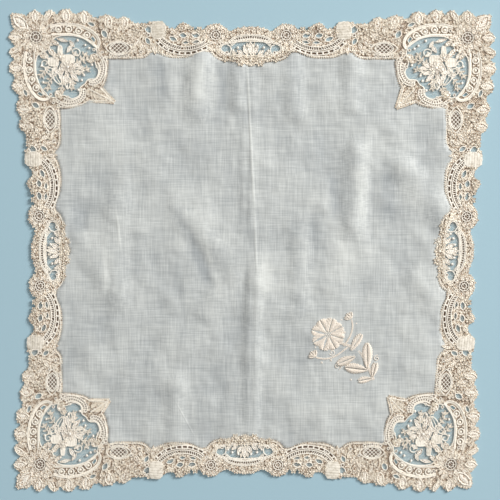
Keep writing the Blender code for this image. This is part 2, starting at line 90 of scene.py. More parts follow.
lie = {
    "cornerPull": ((1.1, -2.2), (1.1, -2.9), (-13.6, 2.2), (5.4, 2.2)),   # in the order of cornerNames
    "sideDraw": (-0.4, -4.3, 1.5, 4.0),   # in the order of sideNames
    # startX, startY, endX, endY, halfWidth, lift
    "ridges": (
        (-1.0, 134.0, 0.0, 8.0, 9.0, 0.9),
        (5.0, -6.0, 5.0, -136.0, 10.0, 1.9),
        (-37.0, 146.0, -38.0, 104.0, 13.0, 2.3),
        (-9.0, 142.0, -8.0, 108.0, 9.0, 1.5),
        (31.0, 142.0, 33.0, 104.0, 12.0, 1.6),
        (73.0, 140.0, 74.0, 108.0, 12.0, 1.8),
        (77.0, 74.0, 77.0, 18.0, 13.0, 2.4),
        (112.0, 62.0, 141.0, 26.0, 14.0, 1.8),
        (38.0, 16.0, 40.0, -46.0, 11.0, 1.2),
        (-55.0, 30.0, -13.0, -8.0, 13.0, 1.2),
        (-12.0, -22.0, -30.0, -42.0, 13.0, 1.0),
        (-100.0, 40.0, -99.0, -38.0, 13.0, 1.5),
        (-140.0, 26.0, -108.0, -24.0, 13.0, 1.1),
        (-54.0, -100.0, -53.0, -140.0, 12.0, 1.4),
        (124.0, -20.0, 150.0, -48.0, 14.0, 1.3),
        (-162.0, 120.0, -158.0, -90.0, 12.0, 0.9),
        (-120.0, -164.0, 60.0, -160.0, 12.0, 0.9),
    ),
}


# The plan of the border

def smoothRamp(low, high, value):
    t = np.clip((value - low) / (high - low), 0.0, 1.0)
    return t * t * (3.0 - 2.0 * t)


def swell(rows, along):
    best = 0.0
    for centre, halfWidth, rise, fullness in rows:
        t = abs(along - centre) / halfWidth
        if t < 1.0:
            best = max(best, rise * (1.0 - t ** fullness))
    return best


def outerEdge(along):
    along = min(along, 2.0 * halfSide - along)
    notch = border["notchAtCorner"] + border["notchDrawnIn"] * float(smoothRamp(*border["notchBend"], along))
    return notch - swell(border["leafPoints"], along)


def innerEdge(along):
    return border["innerEdge"] + swell(border["innerTabs"], min(along, 2.0 * halfSide - along))


def steps(start, end, spacing):
    count = max(1, round((end - start) / spacing))
    return [start + (end - start) * i / count for i in range(count + 1)]


def flip(points):
    return [(b, a) for a, b in points]


def mirrorSide(points):
    return [(2.0 * halfSide - a, b) for a, b in reversed(points)]


def cornerOutline(turn=2):
    half = [(1.2, 1.2)] + [(a, outerEdge(a)) for a in steps(3.0, border["jointOuter"], 0.9)]
    half.append((border["jointInner"], innerEdge(border["jointInner"])))
    half.extend(border["braidEdge"])
    return half + [border["tips"][turn]] + flip(half[:0:-1])


def sideOutline():
    outer = [(a, outerEdge(a)) for a in steps(border["jointOuter"], halfSide, 0.9)]
    inner = [(a, innerEdge(a)) for a in steps(border["jointInner"], halfSide, 1.2)]
    outer = outer[:-1] + mirrorSide(outer)
    inner = inner[:-1] + mirrorSide(inner)
    return outer + inner[::-1]


def linenOutline():
    braid = list(border["braidEdge"])
    side = [(a, innerEdge(a)) for a in steps(border["jointInner"], halfSide, 1.5)]
    side = side[:-1] + mirrorSide(side)
    points = []
    for turn in range(4):
        points += [turned(point, turn) for point in flip(braid) + [border["tips"][turn]] + braid[::-1] + side]
    return points


def cornerWindow():
    half = list(border["window"])
    return smoothLoop(half + flip(half[-2:0:-1]), 4)


def bearing(degrees):
    return math.cos(math.radians(degrees)), math.sin(math.radians(degrees))


def onward(place, distance, degrees):
    # The place that lies a distance away in a direction
    aheadX, aheadY = bearing(degrees)
    return (place[0] + distance * aheadX, place[1] + distance * aheadY)


def around(count, start=0.0):
    # Directions evenly all round, in degrees
    return [start + 360.0 * i / count for i in range(count)]


def lensOutline(count=36, grow=0.0):
    halfLength, halfWidth = border["lensHalfLength"] + grow, border["lensHalfWidth"] + grow
    points = []
    for aheadX, aheadY in (bearing(degrees) for degrees in around(count)):
        rise = math.copysign(halfWidth * abs(aheadY) ** 0.8, aheadY)
        points.append((halfSide + halfLength * aheadX, border["lensInward"] + rise))
    return points


def smoothLoop(points, cuts):
    count = len(points)
    closed = [points[(i - 1) % count] for i in range(count + 3)]
    return curveThrough(closed, cuts)[:-1]


def smoothPath(points, cuts=5):
    first = tuple(2.0 * p - q for p, q in zip(points[0], points[1]))
    last = tuple(2.0 * p - q for p, q in zip(points[-1], points[-2]))
    return curveThrough([first, *points, last], cuts)


def curveThrough(points, cuts):
    # A smooth curve through all but the first and last point
    smooth = []
    for i in range(1, len(points) - 2):
        p0, p1, p2, p3 = (np.array(points[i + k], float) for k in (-1, 0, 1, 2))
        for cut in range(cuts):
            t = cut / cuts
            bend = 2.0 * p0 - 5.0 * p1 + 4.0 * p2 - p3
            twist = 3.0 * p1 - p0 - 3.0 * p2 + p3
            smooth.append(tuple(0.5 * (2.0 * p1 + (p2 - p0) * t + bend * t * t + twist * t ** 3)))
    smooth.append(tuple(points[-2]))
    return smooth


def beside(path, distance):
    # The path moved sideways by the same distance all along
    line = np.array(path, float)
    ahead = np.gradient(line[:, :2], axis=0)
    ahead /= np.linalg.norm(ahead, axis=1)[:, None] + 1e-9
    moved = line.copy()
    moved[:, 0] -= ahead[:, 1] * distance
    moved[:, 1] += ahead[:, 0] * distance
    return [tuple(point) for point in moved]


def evenly(path, spacing):
    # Places at even spacing along a path, each with its direction in degrees
    line = np.array(path, float)[:, :2]
    lengths = np.linalg.norm(np.diff(line, axis=0), axis=1)
    run = np.concatenate(([0.0], np.cumsum(lengths)))
    count = max(1, int(run[-1] / spacing))
    marks = (np.arange(count) + 0.5) * run[-1] / count
    xs = np.interp(marks, run, line[:, 0])
    ys = np.interp(marks, run, line[:, 1])
    pieces = np.clip(np.searchsorted(run, marks) - 1, 0, len(lengths) - 1)
    ahead = np.diff(line, axis=0)[pieces]
    turns = np.degrees(np.arctan2(ahead[:, 1], ahead[:, 0]))
    return [(float(x), float(y), float(turn)) for x, y, turn in zip(xs, ys, turns)]


def strip(path, width):
    return beside(path, 0.5 * width) + beside(path, -0.5 * width)[::-1]


def ring(centre, radius, sides=12):
    return [onward(centre, radius, degrees) for degrees in around(sides)]


def leafLoop(centre, length, width, turn, cuts=7, fullness=0.7):
    # Round a leaf, along one side and back along the other
    points = []
    for i in range(2 * cuts):
        t = i / cuts if i < cuts else 2.0 - i / cuts
        reach = 0.5 * width * math.sin(math.pi * t) ** fullness
        onVein = onward(centre, length * (0.5 - t), turn)
        points.append(onward(onVein, reach if i < cuts else -reach, turn + 90.0))
    return points


def leafFrom(row, *shape):
    return leafLoop(row[:2], *row[2:5], *shape)


def turned(point, turn):
    x, y = point[0] - halfSide, halfSide - point[1]
    for _ in range(turn):
        x, y = y, -x
    return (x, y)


def edgesOf(loop):
    return zip(loop, loop[1:] + loop[:1])


def insideOf(loop, points):
    # Even and odd crossings, for many points at once
    xs, ys = points[:, 0], points[:, 1]
    hit = np.zeros(len(points), bool)
    for (x1, y1), (x2, y2) in edgesOf(loop):
        if y1 != y2:
            hit ^= ((y1 > ys) != (y2 > ys)) & (xs < (x2 - x1) * (ys - y1) / (y2 - y1) + x1)
    return hit


def nearestOn(loop, points):
    # The place on the loop that is nearest to each point
    best, found = np.full(len(points), 1e9), points.copy()
    for start, end in edgesOf(loop):
        edge = np.array(end) - start
        t = np.clip(((points - start) @ edge) / max(1e-9, edge @ edge), 0.0, 1.0)
        near = start + t[:, None] * edge
        distance = np.linalg.norm(points - near, axis=1)
        closer = distance < best
        best[closer], found[closer] = distance[closer], near[closer]
    return found


def farFrom(loop, points):
    return np.linalg.norm(points - nearestOn(loop, points), axis=1)


# How the plan lies on the surface

def ridgeLift(xs, ys, rows):
    lift = np.zeros(len(xs))
    for startX, startY, endX, endY, halfWidth, rise in rows:
        runX, runY = endX - startX, endY - startY
        length = math.hypot(runX, runY)
        along = ((xs - startX) * runX + (ys - startY) * runY) / length
        across = np.abs((xs - startX) * runY - (ys - startY) * runX) / length
        reach = np.abs(along - 0.5 * length) / (0.5 * length + halfWidth)
        taper = smoothRamp(0.0, 0.35, 1.0 - reach)
        lift = np.maximum(lift, rise * taper * smoothRamp(0.0, 1.0, 1.0 - across / halfWidth))
    return lift


def lieOfCloth(xs, ys):
    right, up = 0.5 + 0.5 * xs / halfSide, 0.5 + 0.5 * ys / halfSide
    shares = ((1.0 - right) * up, right * up, right * (1.0 - up), (1.0 - right) * (1.0 - up))
    newX = xs + sum(pull[0] * share for pull, share in zip(lie["cornerPull"], shares))
    newY = ys + sum(pull[1] * share for pull, share in zip(lie["cornerPull"], shares))
    upper, right, lower, left = lie["sideDraw"]
    bowX, bowY = 1.0 - (ys / halfSide) ** 2, 1.0 - (xs / halfSide) ** 2
    newX = newX + bowX * (left * np.maximum(0.0, -xs) - right * np.maximum(0.0, xs)) / halfSide
    newY = newY + bowY * (lower * np.maximum(0.0, -ys) - upper * np.maximum(0.0, ys)) / halfSide
    return newX, newY


def planCentre():
    half = [(a, outerEdge(a)) for a in steps(1.2, halfSide, 0.1)]
    outline = np.array([turned(point, turn) for turn in range(4) for point in half + flip(half)])
    xs, ys = lieOfCloth(outline[:, 0], outline[:, 1])
    return 0.5 * (xs.min() + xs.max()), 0.5 * (ys.min() + ys.max())


originX, originY = planCentre()


def layDown(points):
    # Plan millimetres become metres where the cloth lies
    xs, ys = lieOfCloth(points[:, 0], points[:, 1])
    zs = points[:, 2] + ridgeLift(points[:, 0], points[:, 1], lie["ridges"])
    return np.column_stack((xs - originX, ys - originY, zs)) * mm


# Shader maths as plain expressions

bumpDepth = 0.3
creaseEnds = (-4.0, 12.0)   # where a crease fades in, from its end

class Sum:
    def __init__(self, nodes, socket):
        self.nodes, self.socket = nodes, socket

    def maths(self, operation, *values):
        return self.nodes.add("ShaderNodeMath", {"operation": operation}, dict(enumerate(values)))

    def __abs__(self):
        return self.maths("ABSOLUTE", self)

    def __add__(self, other):
        return self.maths("ADD", self, other)

    def __radd__(self, other):
        return self.maths("ADD", other, self)

    def __sub__(self, other):
        return self.maths("SUBTRACT", self, other)

    def __rsub__(self, other):
        return self.maths("SUBTRACT", other, self)

    def __mul__(self, other):
        return self.maths("MULTIPLY", self, other)

    def __rmul__(self, other):
        return self.maths("MULTIPLY", other, self)


class Nodes:
    def __init__(self, name, roughness):
        self.material = bpy.data.materials.new(name)
        self.material.use_nodes = True
        self.tree = self.material.node_tree
        self.shader = self.tree.nodes["Principled BSDF"]
        self.shader.inputs["Roughness"].default_value = roughness

    def add(self, kind, settings, sockets, output=0):
        node = self.tree.nodes.new(kind)
        for key, value in settings.items():
            setattr(node, key, value)
        for key, value in sockets.items():
            self.feed(node.inputs[key], value)
        return Sum(self, node.outputs[output])

    def feed(self, socket, value):
        if isinstance(value, Sum):
            self.tree.links.new(value.socket, socket)
        else:
            socket.default_value = value

    def axis(self, whole, name):
        return self.add("ShaderNodeSeparateXYZ", {}, {"Vector": whole}, name)

    def place(self, scale=(1.0, 1.0, 1.0)):
        spot = self.add("ShaderNodeTexCoord", {}, {}, "Object")
        return self.add("ShaderNodeMapping", {}, {"Vector": spot, "Scale": scale})

    def stitch(self, name):
        # Place on the motif itself, in millimetres: along, across or up
        whole = self.add("ShaderNodeAttribute", {"attribute_name": "stitch"}, {}, "Vector")
        return self.axis(whole, name)

    def wave(self, value, pitch):
        return value.maths("SINE", value * (2.0 * math.pi / pitch))

    def cloudy(self, size, detail=2.0, scale=(1.0, 1.0, 1.0)):
        sockets = {"Vector": self.place(scale), "Scale": size, "Detail": detail}
        return self.add("ShaderNodeTexNoise", {}, sockets, "Fac")

    def ramp(self, value, low, high):
        sockets = {"Value": value, "From Min": low, "From Max": high}
        return self.add("ShaderNodeMapRange", {"interpolation_type": "SMOOTHSTEP"}, sockets, "Result")

    def colour(self, share, first, second):
        sockets = {"Factor": share, 6: (*first, 1.0), 7: (*second, 1.0)}
        mixed = self.add("ShaderNodeMix", {"data_type": "RGBA"}, sockets, 2)
        self.feed(self.shader.inputs["Base Color"], mixed)

    def bump(self, height, strength):
        sockets = {"Height": height, "Strength": strength, "Distance": bumpDepth * mm}
        self.feed(self.shader.inputs["Normal"], self.add("ShaderNodeBump", {}, sockets, "Normal"))

    def creaseLines(self, rows):
        # The strength along each line and nothing off it
        place = self.place()
        xs, ys = self.axis(place, "X") * 1000.0, self.axis(place, "Y") * 1000.0
        total = xs * 0.0
        for startX, startY, endX, endY, halfWidth, strength in rows:
            lean = (endX - startX) / (endY - startY)
            aside = abs(xs - ((ys - startY) * lean + startX))
            low, high = min(startY, endY), max(startY, endY)
            lowEnd = self.ramp(ys, *(low + step for step in creaseEnds))
            ends = lowEnd * self.ramp(ys, *(high - step for step in creaseEnds))
            total = total + self.ramp(aside, halfWidth, 0.0) * ends * strength
        return total


# How fine the thread's unevenness and the painted shade in its small gaps are, as clouds in a metre
grain = {"shadedGaps": 760.0, "patches": 420.0, "fuzz": 1900.0}
darkToLight = (0.20, 0.77)
# Above this height on a motif the colour is painted lighter, as painted light, and below it darker, as
# painted shade in the hollows
reliefShadeLevel = 0.6      # the height on a motif that is neither lightened nor darkened


def threadMaterial(name, light, dark, work, roughness=0.85):
    # Cotton thread. Each motif has a tone of its own, and the work of the
    # needle follows it: ribs that slant to its vein, or a close weave.
    # Shade is painted into the small gaps between the threads and into each motif's hollows, and light onto
    # its raised edges
    made = Nodes(name, roughness)
    tone = made.add("ShaderNodeAttribute", {"attribute_name": "tone"}, {}, "Fac")
    along, across = made.stitch("X"), made.stitch("Y")
    aside = abs(across)
    texture = made.wave(along + aside * work["slant"], work["pitch"])
    if work["kind"] == "shaded pin holes":
        # one row of small holes down the middle, painted dark as the shade in them
        texture = 0.0 - made.ramp(aside, 0.78, 0.52) * made.ramp(texture, -0.2, 0.4)
    if work["kind"] == "weave":
        texture = texture * made.wave(across, work["pitch"])
    # Small gaps between the threads, painted dark as the shade in them, and pressed in by the bump
    shadedGaps = made.ramp(made.cloudy(grain["shadedGaps"], 1.0), 0.42, 0.34) * work["shadedGaps"]
    # Painted light on the raised parts of each motif and painted shade in its hollows
    paintedReliefShade = (made.stitch("Z") - reliefShadeLevel) * work["rim"]
    value = tone * 0.6 + made.cloudy(grain["patches"], 3.0) * 0.8 + texture * work["contrast"] - shadedGaps + paintedReliefShade
    made.colour(made.ramp(value, *darkToLight), dark, light)
    made.bump(texture * work["relief"] - shadedGaps + made.cloudy(grain["fuzz"], 1.0), 0.6)
    return made.material


linen = {
    "light": (0.690, 0.705, 0.670),
    "shade": (0.400, 0.425, 0.430),
    "slub": 1100.0,     # threads a metre that stand out
    "band": 150.0,
    "cloud": 22.0,
    "sheer": 0.82,
    "shadeToLight": (0.36, 1.02),
    # startX, startY, endX, endY, halfWidth, strength: painted light along the fold where it is positive,
    # painted shade where negative
    "foldLightAndShade": (
        (-3.6, 134, 1.6, 30, 1.5, 1.0), (1.6, 30, 3.4, -16, 1.5, 0.9), (-99, 34, -95, -2, 1.6, 0.8),
        (-56, -108, -41, -136, 1.0, 0.5), (-69, 142, -63, 106, 11, -1.0), (-40, 142, -40, 102, 11, 1.1),
        (-21.5, 136, -20.5, 98, 7, -0.8), (-54, 28, -29, -28, 8, -0.9), (-38, 16, -22, -36, 6, 0.7),
        (-105, 2, -105, -34, 7, 0.8), (-122, 38, -126, 8, 11, -0.7), (10, -6, 9, -34, 8, 0.9),
        (58, 60, 60, 22, 7, -0.8), (78, 66, 79, 22, 10, 0.9), (98, 70, 99, 20, 9, -0.9),
        (116, 58, 117, 30, 11, 0.7), (46, 28, 47, -8, 9, -0.6), (66, 18, 68, -14, 10, 0.7),
    ),
    # pressed in: startX, startY, endX, endY, halfWidth, depth
    "creases": ((-1.0, 140.0, -1.0, 2.0, 2.6, 0.5), (4.4, -4.0, 4.8, -140.0, 2.6, 0.6)),
    "cell": 1.6,
    "low": 0.15,
    "thickness": 0.3,
    "wrinkle": 0.9,
    "wrinkleSize": 26.0,
    "grow": 0.17,       # towards the lace, so that the two touch
    "flat": (0.290, 0.290),
}


def linenMaterial():
    made = Nodes("sheer_linen", 0.62)
    fine, coarse = (((long, 1.0, 1.0), (1.0, long, 1.0)) for long in (0.05, 0.12))
    across, down = (made.cloudy(linen["slub"], 2.0, scale) for scale in fine)
    bandsAcross, bandsDown = (made.cloudy(linen["band"], 2.0, scale) for scale in coarse)
    cloud = made.cloudy(linen["cloud"], 3.0)
    creases = made.creaseLines(linen["foldLightAndShade"])
    threads = (across + down) * 0.24
    bands = bandsAcross * 0.18 + bandsDown * 0.20
    # The colour is painted lighter or darker along the folds, as their light and shade; the bump follows them
    # too
    share = made.ramp(threads + bands + cloud * 0.56, *linen["shadeToLight"]) + creases * 0.42
    made.colour(share, linen["shade"], linen["light"])
    gaps = made.ramp(threads, 0.12, 0.34)
    made.feed(made.shader.inputs["Alpha"], gaps * (1.0 - linen["sheer"]) + linen["sheer"])
    made.bump(across + down + bands * 1.5 + cloud * 50.0 + creases * 2.6, 0.35)
    made.shader.inputs["Sheen Weight"].default_value = 0.15
    return made.material


def floorMaterial():
    made = Nodes("pale_floor", 0.9)
    made.shader.inputs["Base Color"].default_value = (0.37, 0.53, 0.60, 1.0)
    return made.material


# pins: how much small gaps between the threads show, painted dark as the shade in them
# rim: how much lighter the raised edges are than the hollows, as painted light on the raised edges and
# painted shade in the hollows
workNames = ("kind", "slant", "pitch", "contrast", "relief", "shadedGaps", "rim")
ribs = dict(zip(workNames, ("ribs", 0.7, 1.5, 0.30, 1.0, 0.95, 0.85)))
sprigRibs = dict(zip(workNames, ("ribs", 0.7, 1.3, 0.24, 0.8, 0.45, 1.25)))
cords = dict(zip(workNames, ("ribs", 0.7, 1.1, 0.10, 0.4, 0.3, 0.0)))
ribbed = dict(zip(workNames, ("ribs", 0.0, 1.9, 0.04, 0.3, 0.1, 0.0)))
closeWeave = dict(zip(workNames, ("weave", 0.0, 1.0, 0.12, 0.5, 0.0, 0.0)))
openWeave = dict(zip(workNames, ("weave", 0.0, 1.7, 0.45, 1.0, 0.4, 0.0)))
shadedPinHoles = dict(zip(workNames, ("shaded pin holes", 0.0, 1.75, 1.9, 1.6, 0.2, 0.0)))
looks = {
    "sprigs": threadMaterial("net_sprigs", (1.0, 0.94, 0.84), (0.40, 0.29, 0.20), sprigRibs),
    "flowers": threadMaterial("lace_flowers", (1.0, 0.93, 0.81), (0.47, 0.33, 0.22), ribs),
    "cords": threadMaterial("lace_cords", (1.0, 0.94, 0.83), (0.55, 0.43, 0.31), cords),
    # The lace ground, whose dark end is painted shade: in the gaps between motifs and in holes under threads
    "ground": threadMaterial("lace_ground_and_painted_shade", (0.86, 0.72, 0.56), (0.19, 0.13, 0.09), openWeave),
    "cloth": threadMaterial("lace_cloth", (0.97, 0.90, 0.78), (0.55, 0.49, 0.39), ribbed),
    "net": threadMaterial("fine_net", (0.86, 0.82, 0.74), (0.66, 0.61, 0.52), closeWeave),
    # The braid's dark colour is painted shade in its row of small holes
    "braid": threadMaterial("lace_braid_painted_hole_shade", (1.0, 0.93, 0.81), (0.18, 0.13, 0.10), shadedPinHoles),
    "satin": threadMaterial("embroidery_thread", (0.93, 0.84, 0.73), (0.66, 0.56, 0.45), closeWeave, 0.55),
    "linen": linenMaterial(),
    "floor": floorMaterial(),
}
print("materials made:", len(looks))


# Small shapes, modelled once each and copied many times. They are one unit
# long each way from their centre, and take their size where they are set.

def deselectAll():
    bpy.ops.object.select_all(action="DESELECT")
    bpy.context.view_layer.objects.active = None


def selectOnly(item):
    deselectAll()
    item.select_set(True)
    bpy.context.view_layer.objects.active = item


def spotsOf(mesh):
    spots = np.empty(len(mesh.vertices) * 3)
    mesh.vertices.foreach_get("co", spots)
    return spots.reshape(-1, 3)


def pick(item, test):
    # Selects the points that pass the test, in edit mode
    bpy.ops.object.mode_set(mode="OBJECT")
    mesh = item.data
    for part in (mesh.polygons, mesh.edges):
        part.foreach_set("select", np.zeros(len(part), bool))
    mesh.vertices.foreach_set("select", test(*spotsOf(mesh).T))
    bpy.ops.object.mode_set(mode="EDIT")


def extrude(rise, scale=(1.0, 1.0, 1.0)):
    bpy.ops.mesh.extrude_region_move(TRANSFORM_OT_translate={"value": (0.0, 0.0, rise)})
    bpy.ops.transform.resize(value=scale)


def faceOutward():
    bpy.ops.mesh.select_all(action="SELECT")
    bpy.ops.mesh.normals_make_consistent(inside=False)


def takeShape(item):
    # The mesh as plain arrays, and the object is gone
    if item.mode == "EDIT":
        bpy.ops.object.mode_set(mode="OBJECT")
    bpy.ops.object.transform_apply(location=True, rotation=True, scale=True)
    mesh = item.data
    corners = np.empty(len(mesh.loops), np.int32)
    mesh.loops.foreach_get("vertex_index", corners)
    sizes = np.empty(len(mesh.polygons), np.int32)
    mesh.polygons.foreach_get("loop_total", sizes)
    shape = {"points": spotsOf(mesh), "corners": corners, "sizes": sizes}
    bpy.data.objects.remove(item, do_unlink=True)
    return shape


def meshAlong(paths, closed, settings):
    # Cords along paths, or cloth that fills them
    curve = bpy.data.curves.new("path", "CURVE")
    for key, value in settings.items():
        setattr(curve, key, value)
    for path in paths:
        line = curve.splines.new("POLY")
        line.points.add(len(path) - 1)
        line.points.foreach_set("co", [value for point in path for value in (*point, 1.0)])
        line.use_cyclic_u = closed
    item = bpy.data.objects.new("path", curve)
    bpy.context.scene.collection.objects.link(item)
    selectOnly(item)
    bpy.ops.object.convert(target="MESH")
    return bpy.context.object


def modelLeaf(sides, pointed, vein):
    # A rimmed leaf or petal with a hollow and a raised vein
    deselectAll()
    bpy.ops.mesh.primitive_circle_add(vertices=sides, radius=1.0, fill_type="NGON")
    leaf = bpy.context.object
    pick(leaf, lambda x, y, z: abs(x) > 0.6)
    bpy.ops.transform.resize(value=(1.0, pointed, 1.0))
    if sides > 8:
        pick(leaf, lambda x, y, z: abs(x) > 0.8)
        bpy.ops.transform.resize(value=(1.0, 0.66, 1.0))
    bpy.ops.mesh.select_all(action="SELECT")
    extrude(0.55)
    extrude(0.45, (0.86, 0.82, 1.0))
    extrude(-0.62, (0.84, 0.70, 1.0))
    extrude(vein, (0.72, 0.16, 1.0))
    faceOutward()
    return takeShape(leaf)


def modelDot():
    # A small worked dot: a ball pressed flat underneath
    deselectAll()
    bpy.ops.mesh.primitive_ico_sphere_add(subdivisions=1, radius=1.0, location=(0.0, 0.0, 0.5))
    dot = bpy.context.object
    pick(dot, lambda x, y, z: z < -0.3)
    bpy.ops.transform.resize(value=(1.25, 1.25, 0.2))
    return takeShape(dot)


def modelDome():
    # A padded round knob
    deselectAll()
    bpy.ops.mesh.primitive_uv_sphere_add(segments=12, ring_count=6, radius=1.0, location=(0.0, 0.0, 0.2))
    dome = bpy.context.object
    pick(dome, lambda x, y, z: z < -0.4)
    bpy.ops.transform.resize(value=(1.2, 1.2, 0.1))
    return takeShape(dome)


def modelSlab():
    # A flat piece of close cloth with rounded corners and a soft rim
    deselectAll()
    bpy.ops.mesh.primitive_grid_add(x_subdivisions=6, y_subdivisions=6, size=2.0)
    slab = bpy.context.object
    pick(slab, lambda x, y, z: (abs(x) > 0.9) & (abs(y) > 0.9))
    bpy.ops.transform.resize(value=(0.8, 0.8, 1.0))
    bpy.ops.mesh.select_all(action="SELECT")
    extrude(0.8)
    pick(slab, lambda x, y, z: (z > 0.7) & (abs(x) < 0.7) & (abs(y) < 0.7))
    bpy.ops.transform.translate(value=(0.0, 0.0, 0.2))
    faceOutward()
    return takeShape(slab)


def modelBar():
    # A short thread between two cords
    deselectAll()
    bpy.ops.mesh.primitive_cylinder_add(
        vertices=5, radius=1.0, depth=2.0, end_fill_type="NGON", rotation=(0.0, math.radians(90.0), 0.0),
    )
    return takeShape(bpy.context.object)


def modelNetKnot(pitch, thread):
    # Three threads from one knot of the net, each as long as a side of a mesh
    length = pitch / math.sqrt(3.0)
    deselectAll()
    arms = []
    for degrees in around(3, 90.0):
        bpy.ops.mesh.primitive_cylinder_add(
            vertices=3, radius=thread, depth=length, end_fill_type="NOTHING",
            location=(*onward((0.0, 0.0), 0.5 * length, degrees), 0.0),
            rotation=(0.0, math.radians(90.0), math.radians(degrees)),
        )
        arms.append(bpy.context.object)
    for arm in arms:
        arm.select_set(True)
    bpy.ops.object.join()
    return takeShape(bpy.context.object)


netSize = {"pitch": 1.2, "thread": 0.1, "height": 0.45, "overlap": 0.3, "overlapWide": 0.4}
shapes = {
    "leaf": modelLeaf(8, 0.66, 0.5),
    "petal": modelLeaf(8, 0.95, 0.36),
    "broadLeaf": modelLeaf(16, 0.78, 0.5),
    "dot": modelDot(),
    "dome": modelDome(),
    "slab": modelSlab(),
    "bar": modelBar(),
    "knot": modelNetKnot(netSize["pitch"], netSize["thread"]),
}
print("small shapes modelled:", ", ".join(shapes))


class Heap:
    # Copies of small shapes, gathered in one mesh
    def __init__(self):
        self.points, self.stitches, self.tones = [], [], []
        self.corners, self.sizes, self.finishes = [], [], []
        self.total = 0

    def add(self, shape, points, tone, finish, stitches=None):
        self.points.append(points)
        self.stitches.append(points if stitches is None else stitches)
        self.corners.append(shape["corners"] + self.total)
        self.sizes.append(shape["sizes"])
        self.tones.append(np.full(len(points), tone))
        self.finishes.append(np.full(len(shape["sizes"]), finish))
        self.total += len(points)

    def addItem(self, item, tone, finish):
        shape = takeShape(item)
        self.add(shape, shape["points"], tone, finish)

    def stamp(self, kind, place, size, turn, lift, tone, finish=0, tilt=0.0):
        shape = shapes[kind]
        sized = shape["points"] * size
        points = sized @ turnMatrix("y", tilt).T @ turnMatrix("z", turn).T
        self.add(shape, points + (place[0], place[1], lift), tone, finish, sized)

    def thread(self, start, end, radius):
        # A straight thread between two places, given with their heights
        start, end = np.array(start, float), np.array(end, float)
        run, middle = end - start, 0.5 * (start + end)
        length = float(np.linalg.norm(run))
        if length > 0.05:
            turn = math.degrees(math.atan2(run[1], run[0]))
            tilt = -math.degrees(math.asin(run[2] / length))
            size = (0.5 * length, radius, radius)
            self.stamp("bar", middle, size, turn, middle[2], threadTone, cordFinish, tilt)

    def cords(self, paths, radius, tone, finish=0, closed=False):
        # Round cords along paths of places with heights
        settings = {"dimensions": "3D", "bevel_depth": radius, "bevel_resolution": 1}
        settings["use_fill_caps"] = not closed
        self.addItem(meshAlong(paths, closed, settings), tone, finish)

    def sheet(self, outline, holes, low, high, step, tone):
        # Thin flat cloth with holes, cut across so that it can follow the folds
        loops = [[(x, y, 0.0) for x, y in loop] for loop in (outline, *holes)]
        settings = {"dimensions": "2D", "fill_mode": "BOTH", "extrude": 0.5 * (high - low)}
        cloth = meshAlong(loops, True, settings)
        cloth.location.z = 0.5 * (low + high)
        bpy.ops.object.mode_set(mode="EDIT")
        bpy.ops.mesh.select_all(action="SELECT")
        bpy.ops.mesh.remove_doubles(threshold=0.001)
        bpy.ops.mesh.dissolve_limited(angle_limit=0.001)
        for axis, values in enumerate(zip(*outline)):
            for place in steps(min(values), max(values), step)[1:-1]:
                facing = [1.0 if i == axis else 0.0 for i in range(3)]
                bpy.ops.mesh.select_all(action="SELECT")
                bpy.ops.mesh.bisect(plane_co=[place * share for share in facing], plane_no=facing)
        faceOutward()
        self.addItem(cloth, tone, shadedGroundFinish)

    def makePiece(self, name, finishes, angle=50.0):
        points = np.concatenate(self.points)
        points[:, 2] = np.maximum(points[:, 2], aboveFloor)
        corners = np.concatenate(self.corners).astype(np.int32)
        sizes = np.concatenate(self.sizes).astype(np.int32)
        mesh = bpy.data.meshes.new(name)
        mesh.vertices.add(len(points))
        mesh.vertices.foreach_set("co", layDown(points).ravel())
        mesh.loops.add(len(corners))
        mesh.loops.foreach_set("vertex_index", corners)
        mesh.polygons.add(len(sizes))
        mesh.polygons.foreach_set("loop_start", np.concatenate(([0], np.cumsum(sizes)[:-1])).astype(np.int32))
        mesh.polygons.foreach_set("material_index", np.concatenate(self.finishes).astype(np.int32))
        mesh.update(calc_edges=True)
        mesh.validate()
        mesh.attributes.new("tone", "FLOAT", "POINT").data.foreach_set("value", np.concatenate(self.tones))
        stitches = mesh.attributes.new("stitch", "FLOAT_VECTOR", "POINT")
        stitches.data.foreach_set("vector", np.concatenate(self.stitches).ravel())
        for finish in finishes:
            mesh.materials.append(looks[finish])
        mesh.shade_smooth()
        mesh.set_sharp_from_angle(angle=math.radians(angle))
        piece = bpy.data.objects.new(name, mesh)
        bpy.context.scene.collection.objects.link(piece)
        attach(piece, "root")
        print(f"  {name}: {int((sizes - 2).sum())} triangles")
        return piece


def turnMatrix(axis, degrees):
    aheadX, aheadY = bearing(degrees)
    if axis == "z":
        return np.array(((aheadX, -aheadY, 0.0), (aheadY, aheadX, 0.0), (0.0, 0.0, 1.0)))
    return np.array(((aheadX, 0.0, aheadY), (0.0, 1.0, 0.0), (-aheadY, 0.0, aheadX)))


